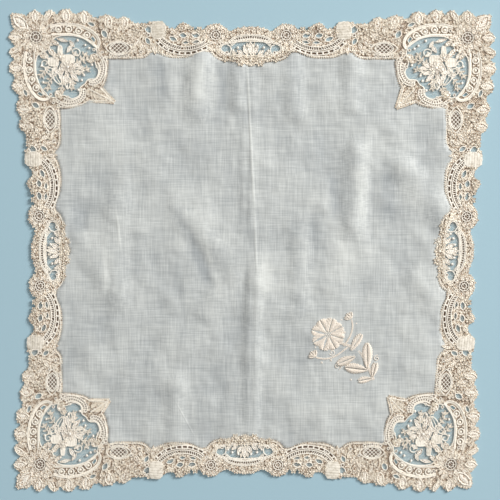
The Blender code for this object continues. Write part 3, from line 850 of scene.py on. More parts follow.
class Half:
    # Sets the motifs of half a corner or half a side into the plan: turned to
    # their place, and mirrored or not
    def __init__(self, heap, turn, mirror, seed):
        self.heap, self.turn, self.mirror = heap, turn, mirror
        self.chance = random.Random(seed)

    def spot(self, place):
        a, b = place[:2]
        if self.mirror == "diagonal":
            a, b = b, a
        if self.mirror == "middle":
            a = 2.0 * halfSide - a
        return turned((a, b), self.turn)

    def angle(self, degrees):
        fullTurn = {"diagonal": 90.0, "middle": 180.0}
        if self.mirror:
            degrees = fullTurn[self.mirror] - degrees
        return -degrees - 90.0 * self.turn

    def loop(self, points):
        return [self.spot(point) for point in points]

    def stamp(self, kind, place, size, degrees, lift, tone, finish=0):
        wobble = self.chance.uniform(-5.0, 5.0)
        tone = min(1.0, tone + self.chance.uniform(-0.22, 0.22))
        lift = lift + self.chance.uniform(-0.08, 0.08)
        self.heap.stamp(kind, self.spot(place), size, self.angle(degrees) + wobble, lift, tone, finish)

    def leaf(self, place, length, width, degrees, way):
        rise, lift, kind, tone = way
        self.stamp(kind, place, (0.5 * length, 0.5 * width, rise), degrees, lift, tone)

    def leaves(self, rows, way):
        for row in rows:
            self.leaf(row[:2], *row[2:], way)

    def dots(self, places):
        for place in places:
            self.stamp("dot", place, (1.0, 1.0, 0.9), 0.0, 0.6, 1.0)

    def flower(self, place, radius, petals, rise, lift, start=0.0):
        width = 1.155 * radius * math.sin(math.pi / petals)
        for degrees in around(petals, start):
            spot = onward(place, 0.58 * radius, degrees)
            self.leaf(spot, 0.86 * radius, width, degrees, (rise, lift, "petal", 0.62))
        self.stamp("dot", place, (0.24 * radius, 0.24 * radius, rise), 0.0, lift, 0.85)

    def cords(self, lines, radius, height, tone, closed=False):
        paths = [[(*self.spot(point), height) for point in line] for line in lines]
        self.heap.cords(paths, radius, tone, cordFinish, closed)

    def loops(self, lines, *way):
        self.cords(lines, *way, True)

    def tape(self, path, near, far, height, tone, finish):
        # A woven tape along a path, between two distances to its side
        shares, rise = np.array((0.0, 0.14, 0.5, 0.86, 1.0)), np.array((-0.4, 0.0, 0.12, 0.0, -0.4))
        count, wide = len(path), len(shares)
        points, stitches = np.zeros((count, wide, 3)), np.zeros((count, wide, 3))
        for i, share in enumerate(shares):
            points[:, i, :2] = self.loop(beside(path, near + share * (far - near)))
        points[:, :, 2] = height + rise
        run = np.cumsum(np.linalg.norm(np.diff(np.array(path)[:, :2], axis=0), axis=1))
        stitches[1:, :, 0] = run[:, None]
        stitches[:, :, 1] = (shares - 0.5) * abs(far - near)
        stitches[:, :, 2] = height
        faces = [
            (i * wide + j, i * wide + (j + 1) % wide, (i + 1) * wide + (j + 1) % wide, (i + 1) * wide + j)
            for i in range(count - 1) for j in range(wide)
        ]
        faces += [tuple(range(wide - 1, -1, -1)), tuple((count - 1) * wide + j for j in range(wide))]
        across, ahead = points[0, 3] - points[0, 1], points[1, 1] - points[0, 1]
        if across[0] * ahead[1] < across[1] * ahead[0]:
            faces = [face[::-1] for face in faces]
        shape = {
            "corners": np.array([corner for face in faces for corner in face], np.int32),
            "sizes": np.array([len(face) for face in faces], np.int32),
        }
        self.heap.add(shape, points.reshape(-1, 3), tone, finish, stitches.reshape(-1, 3))

    def ladder(self, path, near, far, spacing, radius, height):
        # Short threads between two cords over a tape painted dark, as the shade in the holes, so that small
        # dark holes are left
        self.tape(path, near, far, 0.62, -0.8, shadedGroundFinish)
        ones, twos = (evenly(beside(path, distance), spacing) for distance in (near, far))
        for i in range(min(len(ones), len(twos))):
            start = (*self.spot(ones[i]), height)
            end = (*self.spot(twos[i * len(twos) // len(ones)]), height)
            self.heap.thread(start, end, radius)


def scattered(region, blocked, spacing, margin, seed):
    # Places at least a spacing apart, inside a region and off what is blocked
    chance = np.random.default_rng(seed)
    corner = np.array(region)
    low, high = corner.min(axis=0), corner.max(axis=0)
    tries = int(14.0 * np.prod(high - low) / spacing ** 2)
    points = low + chance.random((tries, 2)) * (high - low)
    points = points[insideOf(region, points)]
    points = points[farFrom(region, points) > margin]
    for loop, gap in blocked:
        points = points[~insideOf(loop, points)]
        points = points[farFrom(loop, points) > gap]
    kept = []
    for x, y in points.tolist():
        if all((x - a) ** 2 + (y - b) ** 2 > spacing ** 2 for a, b in kept):
            kept.append((x, y))
    return kept


def netKnots(loop, grow):
    # Knot places of an even net inside a loop
    pitch = netSize["pitch"]
    corner = np.array(loop)
    low, high = corner.min(axis=0), corner.max(axis=0)
    rise = 0.866 * pitch
    rows = np.arange(math.floor(low[1] / rise), math.ceil(high[1] / rise) + 1)
    columns = np.arange(math.floor(low[0] / pitch), math.ceil(high[0] / pitch) + 1)
    grid = np.array([((c + 0.5 * (r % 2)) * pitch, r * rise) for r in rows for c in columns])
    inside = insideOf(loop, grid) | (farFrom(loop, grid) < grow)
    return grid[inside]


def layNet(heap, loop, grow):
    places = netKnots(loop, grow)
    knot = shapes["knot"]
    count = len(knot["points"])
    points = np.tile(knot["points"], (len(places), 1)) + (0.0, 0.0, netSize["height"])
    points[:, :2] += np.repeat(places, count, axis=0)
    starts = np.repeat(np.arange(len(places)) * count, len(knot["corners"]))
    corners = np.tile(knot["corners"], len(places)) + starts
    sizes = np.tile(knot["sizes"], len(places))
    heap.add({"corners": corners, "sizes": sizes}, points, 0.5, netFinish)


# How each leaf is worked: rise, lift, shape and tone
ways = {
    "leaf": (1.15, 0.55, "leaf", 0.62),
    "edgeLeaf": (1.2, 0.55, "broadLeaf", 0.62),
    "edgeSide": (1.05, 0.5, "leaf", 0.6),
    "edgePetal": (0.9, 0.35, "petal", 0.8),
    "innerLoop": (0.6, 0.7, "leaf", 0.8),
    "rosePetal": (1.0, 0.6, "petal", 0.6),
    "throat": (1.2, 0.6, "leaf", 0.66),
    "shell": (1.2, 0.5, "broadLeaf", 0.75),
    "shellRib": (1.3, 0.7, "leaf", 0.7),
    "tipEdge": (0.9, 0.45, "petal", 0.85),
    "tipRib": (1.1, 0.5, "leaf", 0.85),
    "sprayLeaf": (0.95, 0.55, "leaf", 0.9),
    "sprigLeaf": (0.95, 0.55, "leaf", 0.95),
    "sprigEnd": (0.9, 0.5, "leaf", 0.95),
    "lensLeaf": (1.0, 0.55, "leaf", 0.95),
}
# How each cord is worked: radius, height and tone
cordWays = {
    "band": (0.42, 1.2, 0.85),
    "ring": (0.5, 1.15, 0.9),
    "bandGap": (0.4, 1.1, 0.8),
    "gap": (0.4, 0.95, 0.75),
    "braid": (0.38, 1.15, 0.85),
    "braidMiddle": (0.36, 1.15, 0.9),
    "window": (0.42, 1.05, 0.85),
    "innerEdge": (0.4, 0.9, 0.75),
    "eyelet": (0.32, 1.25, 0.9),
    "rim": (0.42, 1.15, 0.85),
    "tipVein": (0.42, 1.25, 0.95),
    "sprig": (0.36, 0.95, 0.8),
    "clothRim": (0.36, 1.2, 0.9),
    "openLeaf": (0.42, 1.1, 0.85),
    "openVein": (0.3, 1.0, 0.8),
    "curl": (0.42, 0.95, 0.8),
    "scroll": (0.38, 1.2, 0.9),
    "petalRim": (0.4, 1.1, 0.75),
    "bandMiddle": (0.34, 1.15, 0.9),
    "lensRim": (0.42, 1.0, 0.8),
    "divider": (0.45, 1.0, 0.8),
}
# How far apart small leaves are set along their lines
pitches = {"outerEdge": 2.0, "innerEdge": 1.7, "tip": 1.5, "sprig": 2.9}
# Low, high and how far apart it is cut
sheets = {"ground": (0.05, 0.55, 6.0), "backing": (0.5, 0.6, 9.0)}
threadTone = 0.9
fill = {"spacing": 1.95, "margin": 1.6, "lengths": (2.6, 4.4), "widths": (1.8, 2.7)}
finishes = ("flowers", "cords", "ground", "cloth", "net", "braid")
sprigFinishes = ("sprigs", *finishes[1:])
cordFinish, shadedGroundFinish, clothFinish, netFinish, braidFinish = range(1, 6)


def workRose(half, row):
    # Petals round an eye of small holes, whose shade is painted on a dark dome under the threads
    place, (radius, eye, petals) = row[:2], row[2:]
    reach = 0.5 * (radius + eye) + 0.5
    width = 2.1 * reach * math.sin(math.pi / petals)
    for degrees in around(petals, 12.0):
        half.leaf(onward(place, reach, degrees), radius - eye + 0.6, width, degrees, ways["rosePetal"])
    # A dome painted dark, as the shade in the holes of the eye
    half.stamp("dome", place, (eye, eye, 0.2), 0.0, 0.6, -0.6, shadedGroundFinish)
    for share, size in ((1.0, 0.34), (0.5, 0.3)):
        half.loops([ring(place, share * (eye - 0.2), 16)], size, 1.15, 0.9)
    for count, near, far in ((9, 0.5, 0.95), (3, 0.12, 0.5)):
        for degrees in around(count):
            ends = [(*onward(half.spot(place), eye * share, degrees), 0.95) for share in (near, far)]
            half.heap.thread(*ends, 0.2)


def workPoint(half, along, halfWidth, aim):
    # A leaf of the outer edge with small ones on either side
    centre = onward((along, outerEdge(along)), -4.4, aim)
    half.leaf(centre, 10.6, 0.92 * halfWidth, aim, ways["edgeLeaf"])
    for side in (-1.0, 1.0):
        for share, length, turn in ((0.5, 6.4, 20.0), (0.86, 5.0, 42.0)):
            x = along + side * share * halfWidth
            half.leaf((x, outerEdge(x) + 0.42 * length), length, 2.7, aim + side * turn, ways["edgeSide"])


def workEdge(half, start, end):
    # Small points all along the outer edge, but not over the smooth petal
    path = [(a, outerEdge(a)) for a in steps(start, end, 0.5)]
    for x, y, degrees in evenly(path, pitches["outerEdge"]):
        turn = degrees - 90.0 + half.chance.uniform(-18.0, 18.0)
        length = half.chance.uniform(2.6, 4.0)
        if abs(x - side["smoothPetal"][0]) >= 0.5 * side["smoothPetal"][3]:
            back = half.chance.uniform(0.02, 0.32) * length
            half.leaf(onward((x, y), -back, turn), length, 2.3, turn, ways["edgePetal"])


def workInnerEdge(half, path):
    # Small loops that hold the lace to the linen
    for x, y, degrees in evenly(path, pitches["innerEdge"]):
        half.leaf((x, y), 2.2, 1.3, degrees + 90.0 + half.chance.uniform(-12.0, 12.0), ways["innerLoop"])


def fillWith(half, places, aim):
    for place in places:
        length, width = half.chance.uniform(*fill["lengths"]), half.chance.uniform(*fill["widths"])
        turn = aim(place) + half.chance.uniform(-38.0, 38.0)
        kind = half.chance.choice(("leaf", "petal", "petal"))
        half.leaf(place, length, width, turn, (half.chance.uniform(0.7, 1.15), 0.45, kind, 0.72))


def workShadedEyelets(half, rows):
    # Small openings shown as domes painted dark, as the shade in them, with a worked rim
    for a, b, size in rows:
        # A dome painted dark as the shade in the opening
        half.stamp("dome", (a, b), (size, size, 0.5), 0.0, 0.9, -0.8, shadedGroundFinish)
        half.loops([ring((a, b), size + 0.3, 10)], *cordWays["eyelet"])


def workGap(half, row):
    # A net gap with a cord round it
    half.loops([leafFrom(row)], *cordWays["gap"])
    layNet(half.heap, half.loop(leafFrom(row)), netSize["overlap"])


def layGround(heap, turn, outline, holes):
    loops = [[turned(point, turn) for point in loop] for loop in (outline, *holes)]
    # The ground sheet is painted dark, as the shade between the motifs
    heap.sheet(loops[0], loops[1:], *sheets["ground"], 0.1)


def aimFrom(start, place):
    return math.degrees(math.atan2(place[1] - start[1], place[0] - start[0]))


# The corners

corner = {
    "bigLeaf": (7.4, 7.4, 15.0, 8.0, 45.0),
    "throat": (29.0, 29.0, 8.0, 4.4, 45.0),
    # along, inward, length, width, turn
    "leaves": (
        (13.4, 6.8, 8.6, 3.6, 64.0),
        (23.0, 9.4, 7.6, 3.6, 116.0),
        (27.2, 17.2, 8.6, 4.0, 2.0),
        (26.6, 22.4, 8.4, 4.0, 26.0),
        (31.8, 22.2, 7.0, 3.6, 40.0),
        (25.0, 12.0, 6.8, 3.4, 146.0),
        (33.4, 5.2, 6.0, 3.0, 74.0),
        (46.8, 5.0, 5.6, 2.8, 100.0),
        (64.2, 29.8, 5.6, 3.0, 70.0),
        (57.6, 35.8, 5.0, 3.2, 10.0),
    ),
    "bandOuter": (
        (28.4, 10.0), (35.0, 8.3), (43.0, 8.1), (51.0, 9.5),
        (58.0, 12.6), (63.2, 17.2), (64.8, 22.6), (63.0, 26.6),
    ),
    "bandInner": (
        (29.4, 16.4), (36.0, 16.4), (44.0, 16.3), (51.0, 18.2), (56.2, 21.2), (60.2, 24.4), (63.0, 26.6),
    ),
    "rings": ((34.8, 12.3), (42.2, 12.2), (49.4, 13.6), (55.4, 16.6)),
    "bandGap": ((57.9, 19.0), (59.6, 17.2), (61.6, 20.0), (60.6, 22.2)),
    "netGap": (58.8, 8.6, 6.0, 2.9, 22.0),
    "rose": (18.0, 18.0, 8.6, 4.2, 10),
    "braidOuter": (
        (64.6, 29.6), (67.8, 34.6), (68.9, 40.0), (67.8, 46.0), (64.8, 51.0), (60.4, 53.6), (56.0, 53.4),
    ),
    "braidMiddle": ((63.6, 36.2), (65.2, 40.0), (64.9, 44.6), (62.6, 48.8), (58.8, 51.0), (55.4, 51.0)),
    "shell": (60.4, 32.6, 6.0, 5.0, 40.0),
    "tipRoot": (56.6, 56.6),
    # small openings, painted dark as shade: along, inward, size
    "eyelets": (
        (67.9, 34.6, 1.1), (66.2, 29.2, 0.6), (30.6, 13.0, 0.7), (60.2, 27.4, 0.6), (62.2, 40.0, 0.5),
    ),
}

spray = {
    # along, inward, length, width, turn
    "cloths": (
        (30.0, 36.4, 8.2, 6.2, 4.0),
        (41.2, 34.4, 9.4, 6.6, -4.0),
        (35.4, 28.6, 3.4, 8.6, 0.0),
    ),
    "leaves": (
        (36.2, 41.2, 10.4, 5.0, 92.0), (38.6, 49.0, 9.6, 4.4, 104.0), (47.2, 38.4, 8.6, 4.0, -30.0),
        (45.2, 47.6, 9.0, 4.2, 48.0), (30.6, 30.8, 7.4, 3.8, 52.0), (25.2, 31.8, 6.2, 3.0, 70.0),
        (37.4, 20.2, 9.4, 3.0, 12.0), (44.2, 23.0, 6.6, 3.0, 58.0), (42.4, 26.4, 7.6, 3.6, -58.0),
        (46.4, 30.6, 6.2, 3.0, 30.0), (33.2, 43.4, 8.0, 3.8, 20.0), (50.4, 40.4, 6.8, 3.4, 20.0),
        (35.6, 47.4, 7.6, 3.8, 76.0), (43.4, 51.4, 7.4, 3.4, 74.0), (30.8, 41.4, 6.4, 3.4, 140.0),
        (39.8, 45.6, 6.6, 3.6, 84.0), (47.6, 44.0, 6.4, 3.2, 24.0), (28.4, 46.2, 6.0, 3.0, 50.0),
    ),
    # leaves that are only an outline and a vein
    "openLeaves": (
        (32.2, 47.8, 12.4, 4.8, 60.0), (27.8, 43.4, 9.8, 4.8, 34.0), (47.4, 43.2, 8.6, 4.0, -6.0),
        (40.2, 52.8, 7.0, 3.4, 96.0),
    ),
    "bigFlower": (40.6, 40.2, 5.6, 8),
    "smallFlower": (35.2, 32.8, 3.8, 7),
    "curls": ((24.0, 37.2, 2.3, 20.0), (47.4, 29.6, 2.3, 200.0)),
    # each sprig is a curved stem with leaves in pairs
    "sprigs": (
        ((46.0, 38.0), (50.4, 34.8), (54.0, 30.4)),
        ((50.0, 35.2), (54.4, 34.8), (58.6, 33.4)),
        ((45.4, 42.6), (50.8, 43.4), (55.6, 41.4)),
        ((41.0, 47.4), (43.4, 51.4), (43.0, 55.8)),
        ((36.6, 50.0), (36.0, 54.6), (33.8, 58.6)),
        ((29.0, 48.0), (25.8, 51.6), (25.2, 56.0)),
        ((27.0, 41.0), (23.4, 42.6), (20.6, 46.6)),
    ),
    "dots": (
        (48.4, 20.4), (56.6, 26.2), (58.4, 38.4), (52.2, 46.0), (31.4, 58.6), (47.8, 56.8), (22.0, 51.2),
        (21.2, 39.2), (53.8, 24.0), (39.0, 54.6), (33.6, 22.8), (50.6, 49.8), (28.0, 27.6),
    ),
}


def cornerBlocks():
    # Loops that the small leaves keep clear of, with the gap to each
    rose = ring(corner["rose"], corner["rose"][2])
    one = [(cornerWindow(), 0.7), (rose, 0.2), (leafFrom(corner["bigLeaf"]), 0.2)]
    two = [
        (smoothPath(corner["bandOuter"]) + smoothPath(corner["bandInner"])[::-1], 0.3),
        (leafFrom(corner["netGap"]), 0.9),
        (smoothPath(corner["braidOuter"]) + list(border["window"][:-6:-1]), 0.4),
        ([(56.0, 56.0), *border["braidEdge"][-1:], (69.0, 69.0)], 0.2),
    ]
    two += [(leafFrom(row), 0.3) for row in (*corner["leaves"], corner["shell"])]
    for along, halfWidth, _, _ in border["leafPoints"][1:5]:
        two.append((leafLoop((along, outerEdge(along) + 5.0), 9.6, 0.9 * halfWidth, 90.0), 0.1))
    return one + two + [(flip(loop), gap) for loop, gap in two]


def cornerHoles():
    half = [leafFrom(corner["netGap"]), list(corner["bandGap"])]
    return [cornerWindow()] + half + [flip(loop) for loop in half]


def dressHalfCorner(half):
    outer, inner = smoothPath(corner["bandOuter"]), smoothPath(corner["bandInner"])
    half.cords([outer, inner], *cordWays["band"])
    half.tape(outer, 0.2, 1.9, 1.0, 0.85, clothFinish)
    half.tape(inner, -0.2, -1.3, 1.0, 0.8, clothFinish)
    band, gap = half.loop(outer + inner[-2::-1]), half.loop(corner["bandGap"])
    # A backing painted dark under the band, as the shade between its rings
    half.heap.sheet(band, [gap], *sheets["backing"], 0.0)
    for a, b in corner["rings"]:
        half.loops([ring((a, b), 2.15, 14)], *cordWays["ring"])
        half.stamp("dome", (a - 0.3, b + 0.2), (1.25, 1.1, 1.0), 0.0, 0.6, 0.7, clothFinish)
    for (a, b), (c, d) in zip(corner["rings"], corner["rings"][1:]):
        for push in (-1.7, 1.7):
            half.stamp("dot", (0.5 * (a + c), 0.5 * (b + d) + push), (0.8, 0.8, 0.8), 0.0, 0.7, 0.75)
    half.loops([corner["bandGap"]], *cordWays["bandGap"])
    braidOuter, braidMiddle = smoothPath(corner["braidOuter"]), smoothPath(corner["braidMiddle"])
    half.cords([beside(braidOuter, 0.3), beside(braidOuter, 2.1)], *cordWays["braid"])
    half.tape(braidOuter, 0.3, 2.1, 1.0, 0.8, braidFinish)
    half.tape(braidMiddle, -1.7, 1.2, 1.0, 0.85, braidFinish)
    half.cords([beside(braidMiddle, 1.2)], *cordWays["braidMiddle"])
    half.leaves([corner["shell"]], ways["shell"])
    a, b, _, _, degrees = corner["shell"]
    rows = [(a + 1.6, b + 1.4, 4.6, 2.2, degrees + turn) for turn in (-40.0, 0.0, 40.0)]
    half.leaves(rows, ways["shellRib"])
    half.leaves(corner["leaves"], ways["leaf"])
    workShadedEyelets(half, corner["eyelets"])
    for along, halfWidth, _, _ in border["leafPoints"][1:5]:
        tip = (along, outerEdge(along))
        workPoint(half, along, halfWidth, -90.0 if along > 35.0 else aimFrom(corner["rose"], tip))
    workEdge(half, 1.2, border["jointOuter"])
    workGap(half, corner["netGap"])
    half.cords([smoothPath(border["window"], 4)], *cordWays["window"])
    edge = smoothPath([(border["jointInner"], innerEdge(border["jointInner"])), *border["braidEdge"]], 4)
    half.cords([beside(edge, 0.5)], *cordWays["innerEdge"])
    workInnerEdge(half, edge)


def dressTip(heap, turn):
    # The pointed leaf at the inner end of a corner, with a vein and cross bars
    half = Half(heap, turn, None, 20 + turn)
    root, tip = np.array(corner["tipRoot"]), np.array(border["tips"][turn])
    notch = np.array(border["braidEdge"][-1])
    for side, start in ((-1.0, notch), (1.0, notch[::-1])):
        edge = [tuple(start + share * (tip - start)) for share in np.linspace(0.0, 0.97, 9)]
        half.cords([beside(edge, side * -0.5)], *cordWays["rim"])
        for x, y, degrees in evenly(beside(edge, side * 0.3), pitches["tip"]):
            half.leaf((x, y), 3.4, 1.9, degrees + side * 40.0, ways["tipEdge"])
        for share in np.linspace(0.02, 0.86, 8):
            onVein = root + share * (tip - root)
            onEdge = start + min(1.0, share + 0.16) * (tip - start)
            length = 0.96 * float(np.linalg.norm(onEdge - onVein))
            half.leaf(0.5 * (onVein + onEdge), length, 2.4, aimFrom(onVein, onEdge), ways["tipRib"])
    vein = [tuple(root + share * (tip - root)) for share in np.linspace(-0.04, 0.93, 8)]
    half.cords([vein], *cordWays["tipVein"])


def dressCorner(turn, places):
    heap = Heap()
    layGround(heap, turn, cornerOutline(turn), cornerHoles())
    dressTip(heap, turn)
    for mirror in (None, "diagonal"):
        dressHalfCorner(Half(heap, turn, mirror, 10 + turn))
    whole = Half(heap, turn, None, 30 + turn)
    workRose(whole, corner["rose"])
    whole.leaves([corner["bigLeaf"]], ways["edgeLeaf"])
    whole.leaves([corner["throat"]], ways["throat"])
    fillWith(whole, places, lambda place: aimFrom(corner["rose"], place))
    piece = heap.makePiece("corner_work_" + cornerNames[turn], finishes)
    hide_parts("corner_lace_" + cornerNames[turn])
    return piece


def workSprig(half, points):
    # A thin stem with small leaves in pairs and one at its end
    path = smoothPath(points)
    half.cords([path], *cordWays["sprig"])
    for x, y, degrees in evenly(path, pitches["sprig"]):
        for turn in (degrees - 52.0, degrees + 52.0):
            half.leaf(onward((x, y), 1.7, turn), 4.0, 1.6, turn, ways["sprigLeaf"])
    half.leaf(points[-1], 4.2, 1.8, aimFrom(points[-2], points[-1]), ways["sprigEnd"])


def spiral(x, y, size, start):
    shares = [i / 25 for i in range(26)]
    return [onward((x, y), size * (1.5 - 1.15 * share), start + 430.0 * share) for share in shares]


def dressCornerNet(turn):
    heap = Heap()
    half = Half(heap, turn, "diagonal" if turn % 2 else None, 50 + turn)
    layNet(heap, half.loop(cornerWindow()), netSize["overlapWide"])
    for row in spray["cloths"]:
        half.stamp("slab", row[:2], (0.5 * row[2], 0.5 * row[3], 0.8), row[4], 0.6, 0.45, clothFinish)
        half.loops([leafFrom(row, 8, 0.2)], *cordWays["clothRim"])
    for row in spray["openLeaves"]:
        half.loops([leafFrom(row)], *cordWays["openLeaf"])
        half.cords([leafLoop(row[:2], row[2], 0.3, row[4])[:8]], *cordWays["openVein"])
    half.leaves(spray["leaves"], ways["sprayLeaf"])
    for a, b, radius, petals in (spray["bigFlower"], spray["smallFlower"]):
        half.flower((a, b), radius, petals, 1.0, 0.9, 15.0)
    half.cords([spiral(*row) for row in spray["curls"]], *cordWays["curl"])
    for points in spray["sprigs"]:
        workSprig(half, points)
    half.dots(spray["dots"])
    piece = heap.makePiece("corner_mesh_" + cornerNames[turn], sprigFinishes)
    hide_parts("corner_net_" + cornerNames[turn])
    return piece


# The sides

side = {
    "smoothPetal": (107.6, 13.0, 13.0, 10.6, 90.0),
    "meshLeaf": (78.4, 26.2, 19.2, 9.8, 0.0),
    "meshGap": (78.4, 26.2, 14.0, 8.0, 0.0),
    "scroll": (
        (109.2, 18.4), (112.0, 21.4), (116.7, 24.4), (124.0, 26.3),
        (132.0, 26.1), (138.4, 24.2), (142.8, 21.4),
    ),
    "gaps": (
        (100.2, 12.4, 6.8, 4.6, 60.0), (68.2, 15.8, 6.4, 4.0, 60.0), (99.8, 21.0, 5.8, 3.4, 60.0),
        (118.2, 19.4, 6.6, 3.4, 24.0), (125.6, 16.8, 5.8, 3.8, 10.0), (134.8, 16.8, 6.4, 3.8, 12.0),
        (127.4, 22.0, 5.4, 2.6, 0.0), (135.2, 21.6, 5.8, 2.6, -10.0),
    ),
    "rose": (149.4, 16.6, 7.2, 3.8, 9),
    "bandMiddle": ((159.6, 23.4), (162.8, 20.6), (168.0, 18.7), (175.0, 18.1)),
    "leaves": (
        (86.6, 16.6, 7.0, 3.6, 24.0), (92.0, 21.8, 9.4, 4.0, -52.0), (95.4, 25.0, 8.0, 3.8, -70.0),
        (89.4, 28.0, 6.8, 3.4, -30.0), (104.6, 26.6, 9.4, 3.8, 84.0), (108.8, 27.4, 7.0, 3.2, 62.0),
        (100.4, 27.4, 7.0, 3.2, 110.0), (117.6, 14.4, 6.2, 3.4, 30.0), (141.0, 17.4, 6.4, 3.0, 84.0),
        (146.0, 27.0, 6.6, 3.4, 30.0), (151.0, 26.4, 7.2, 3.4, 74.0), (153.6, 31.0, 7.0, 3.4, 20.0),
        (72.0, 10.0, 6.4, 3.4, 50.0), (78.6, 13.0, 6.6, 3.6, 100.0), (84.2, 10.6, 6.0, 3.4, 80.0),
    ),
    "flowers": (
        (76.0, 17.4, 3.3, 6), (91.6, 12.6, 3.3, 6), (81.6, 19.0, 3.0, 6), (96.6, 9.8, 2.6, 5),
        (124.8, 11.6, 3.2, 6), (131.4, 12.4, 2.8, 6), (137.4, 12.6, 2.6, 5), (113.4, 14.0, 1.8, 5),
        (162.2, 33.6, 3.2, 6), (168.0, 36.4, 3.6, 7), (170.6, 32.8, 2.2, 5), (156.4, 34.4, 2.4, 5),
    ),
    "middleFlower": (175.0, 35.2, 4.2, 8),
    # small openings, painted dark as shade: along, inward, size
    "eyelets": (
        (72.4, 31.2, 0.6), (75.4, 32.0, 0.6), (78.4, 32.3, 0.6), (81.4, 32.0, 0.6), (84.4, 31.2, 0.6),
        (94.6, 28.6, 0.7), (100.2, 16.6, 0.8), (88.0, 24.0, 0.6), (113.4, 25.6, 0.6), (146.0, 22.4, 0.6),
        (153.8, 22.8, 0.7), (157.6, 29.6, 0.7),
    ),
}

lens = {
    "divider": ((158.4, 31.6), (160.6, 28.6), (160.2, 25.2), (157.8, 23.6)),
    "leaves": (
        (175.0, 26.4, 10.6, 4.6, 90.0), (171.4, 28.0, 8.0, 4.0, 62.0), (178.6, 28.0, 8.0, 4.0, 118.0),
        (167.4, 29.4, 6.4, 3.4, 34.0), (182.6, 29.4, 6.4, 3.4, 146.0), (172.8, 24.2, 4.4, 2.4, 70.0),
        (177.2, 24.2, 4.4, 2.4, 110.0), (163.0, 29.6, 4.4, 2.4, 10.0), (187.0, 29.6, 4.4, 2.4, 170.0),
    ),
    "dots": ((165.6, 25.8), (170.2, 24.6), (179.8, 24.6), (184.4, 25.8), (162.2, 28.0), (187.8, 28.0)),
}


def sideBlocks():
    one = [(lensOutline(24, 0.6), 0.5)]
    two = [
        (strip(beside(smoothPath(side["scroll"]), 1.8), 6.2), 0.2),
        (ring(side["rose"], side["rose"][2]), 0.2),
        (strip(smoothPath(side["bandMiddle"]), 3.4), 0.2),
    ]
    two += [(leafFrom(side[key]), 0.4) for key in ("smoothPetal", "meshLeaf")]
    two += [(leafFrom(row), 0.9) for row in side["gaps"]]
    two += [(leafFrom(row), 0.2) for row in side["leaves"]]
    two += [(ring(row, row[2]), 0.2) for row in side["flowers"]]
    return one + two + [(mirrorSide(loop), gap) for loop, gap in two]


def sideHoles():
    half = [leafFrom(row) for row in side["gaps"]]
    return [lensOutline()] + half + [mirrorSide(loop) for loop in half]


def dressHalfSide(half):
    scroll = smoothPath(side["scroll"])
    half.cords([beside(scroll, step) for step in (-1.3, 1.25, 2.5, 4.7)], *cordWays["scroll"])
    half.ladder(scroll, -1.2, 1.2, 1.6, 0.3, 1.05)
    half.ladder(scroll, 2.6, 4.6, 4.0, 0.7, 1.05)
    petal = side["smoothPetal"]
    half.stamp("slab", petal[:2], (0.5 * petal[2], 0.5 * petal[3], 1.1), petal[4], 0.5, 0.2, clothFinish)
    half.loops([leafFrom(petal, 12, 0.4)], *cordWays["petalRim"])
    opening = leafFrom(side["meshGap"], 10, 0.6)
    half.loops([leafFrom(side["meshLeaf"], 12)], *cordWays["rim"])
    half.loops([opening], *cordWays["rim"])
    # A backing painted dark under the crossed threads, as the shade in the openings of the mesh
    half.heap.sheet(half.loop(opening), [], *sheets["backing"], -0.8)
    workDiagonals(half, opening, 2.0)
    for row in side["gaps"]:
        workGap(half, row)
    workRose(half, side["rose"])
    band = smoothPath(side["bandMiddle"])
    half.cords([beside(band, step) for step in (-2.0, -1.1, 1.1, 2.0)], *cordWays["bandMiddle"])
    half.ladder(band, -1.0, 1.0, 1.6, 0.3, 1.0)
    half.leaves(side["leaves"], ways["leaf"])
    for a, b, size, petals in side["flowers"]:
        half.flower((a, b), size, petals, 1.1, 0.6, 20.0)
    workShadedEyelets(half, side["eyelets"])
    for i in (5, 6):
        workPoint(half, *border["leafPoints"][i][:2], -90.0)
    workEdge(half, border["jointOuter"], halfSide)
    inner = [(a, innerEdge(a)) for a in steps(border["jointInner"] + 0.4, halfSide, 1.5)]
    half.cords([[(a, b - 0.5) for a, b in inner]], *cordWays["innerEdge"])
    workInnerEdge(half, inner)


def workDiagonals(half, loop, pitch):
    # Crossed threads that fill a leaf-shaped opening
    centre = np.array(loop).mean(axis=0)
    for degrees in (42.0, -42.0):
        aside = np.array(bearing(degrees + 90.0))
        for i in range(-8, 9):
            crossings = []
            for start, end in edgesOf(loop):
                start, end = np.array(start), np.array(end)
                first, second = (start - centre) @ aside - i * pitch, (end - centre) @ aside - i * pitch
                if first * second < 0.0:
                    crossings.append(start + first / (first - second) * (end - start))
            if len(crossings) == 2:
                ends = [(*half.spot(place), 0.9) for place in crossings]
                half.heap.thread(*ends, 0.26)


def dressSide(turn, places):
    heap = Heap()
    layGround(heap, turn, sideOutline(), sideHoles())
    for mirror in (None, "middle"):
        dressHalfSide(Half(heap, turn, mirror, 70 + turn))
    whole = Half(heap, turn, None, 90 + turn)
    a, b, size, petals = side["middleFlower"]
    whole.flower((a, b), size, petals, 1.2, 0.6)
    whole.loops([lensOutline(36, 0.4), lensOutline(36, 1.5)], *cordWays["lensRim"])
    fillWith(whole, places, lambda place: -90.0)
    piece = heap.makePiece("side_work_" + sideNames[turn], finishes)
    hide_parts("side_lace_" + sideNames[turn])
    return piece


def dressSideNet(turn):
    heap = Heap()
    whole = Half(heap, turn, None, 110 + turn)
    layNet(heap, whole.loop(lensOutline()), netSize["overlapWide"])
    whole.cords([smoothPath(lens["divider"]), smoothPath(mirrorSide(lens["divider"]))], *cordWays["divider"])
    whole.leaves(lens["leaves"], ways["lensLeaf"])
    whole.dots(lens["dots"])
    piece = heap.makePiece("side_mesh_" + sideNames[turn], sprigFinishes)
    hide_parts("side_net_" + sideNames[turn])
    return piece


# The linen centre

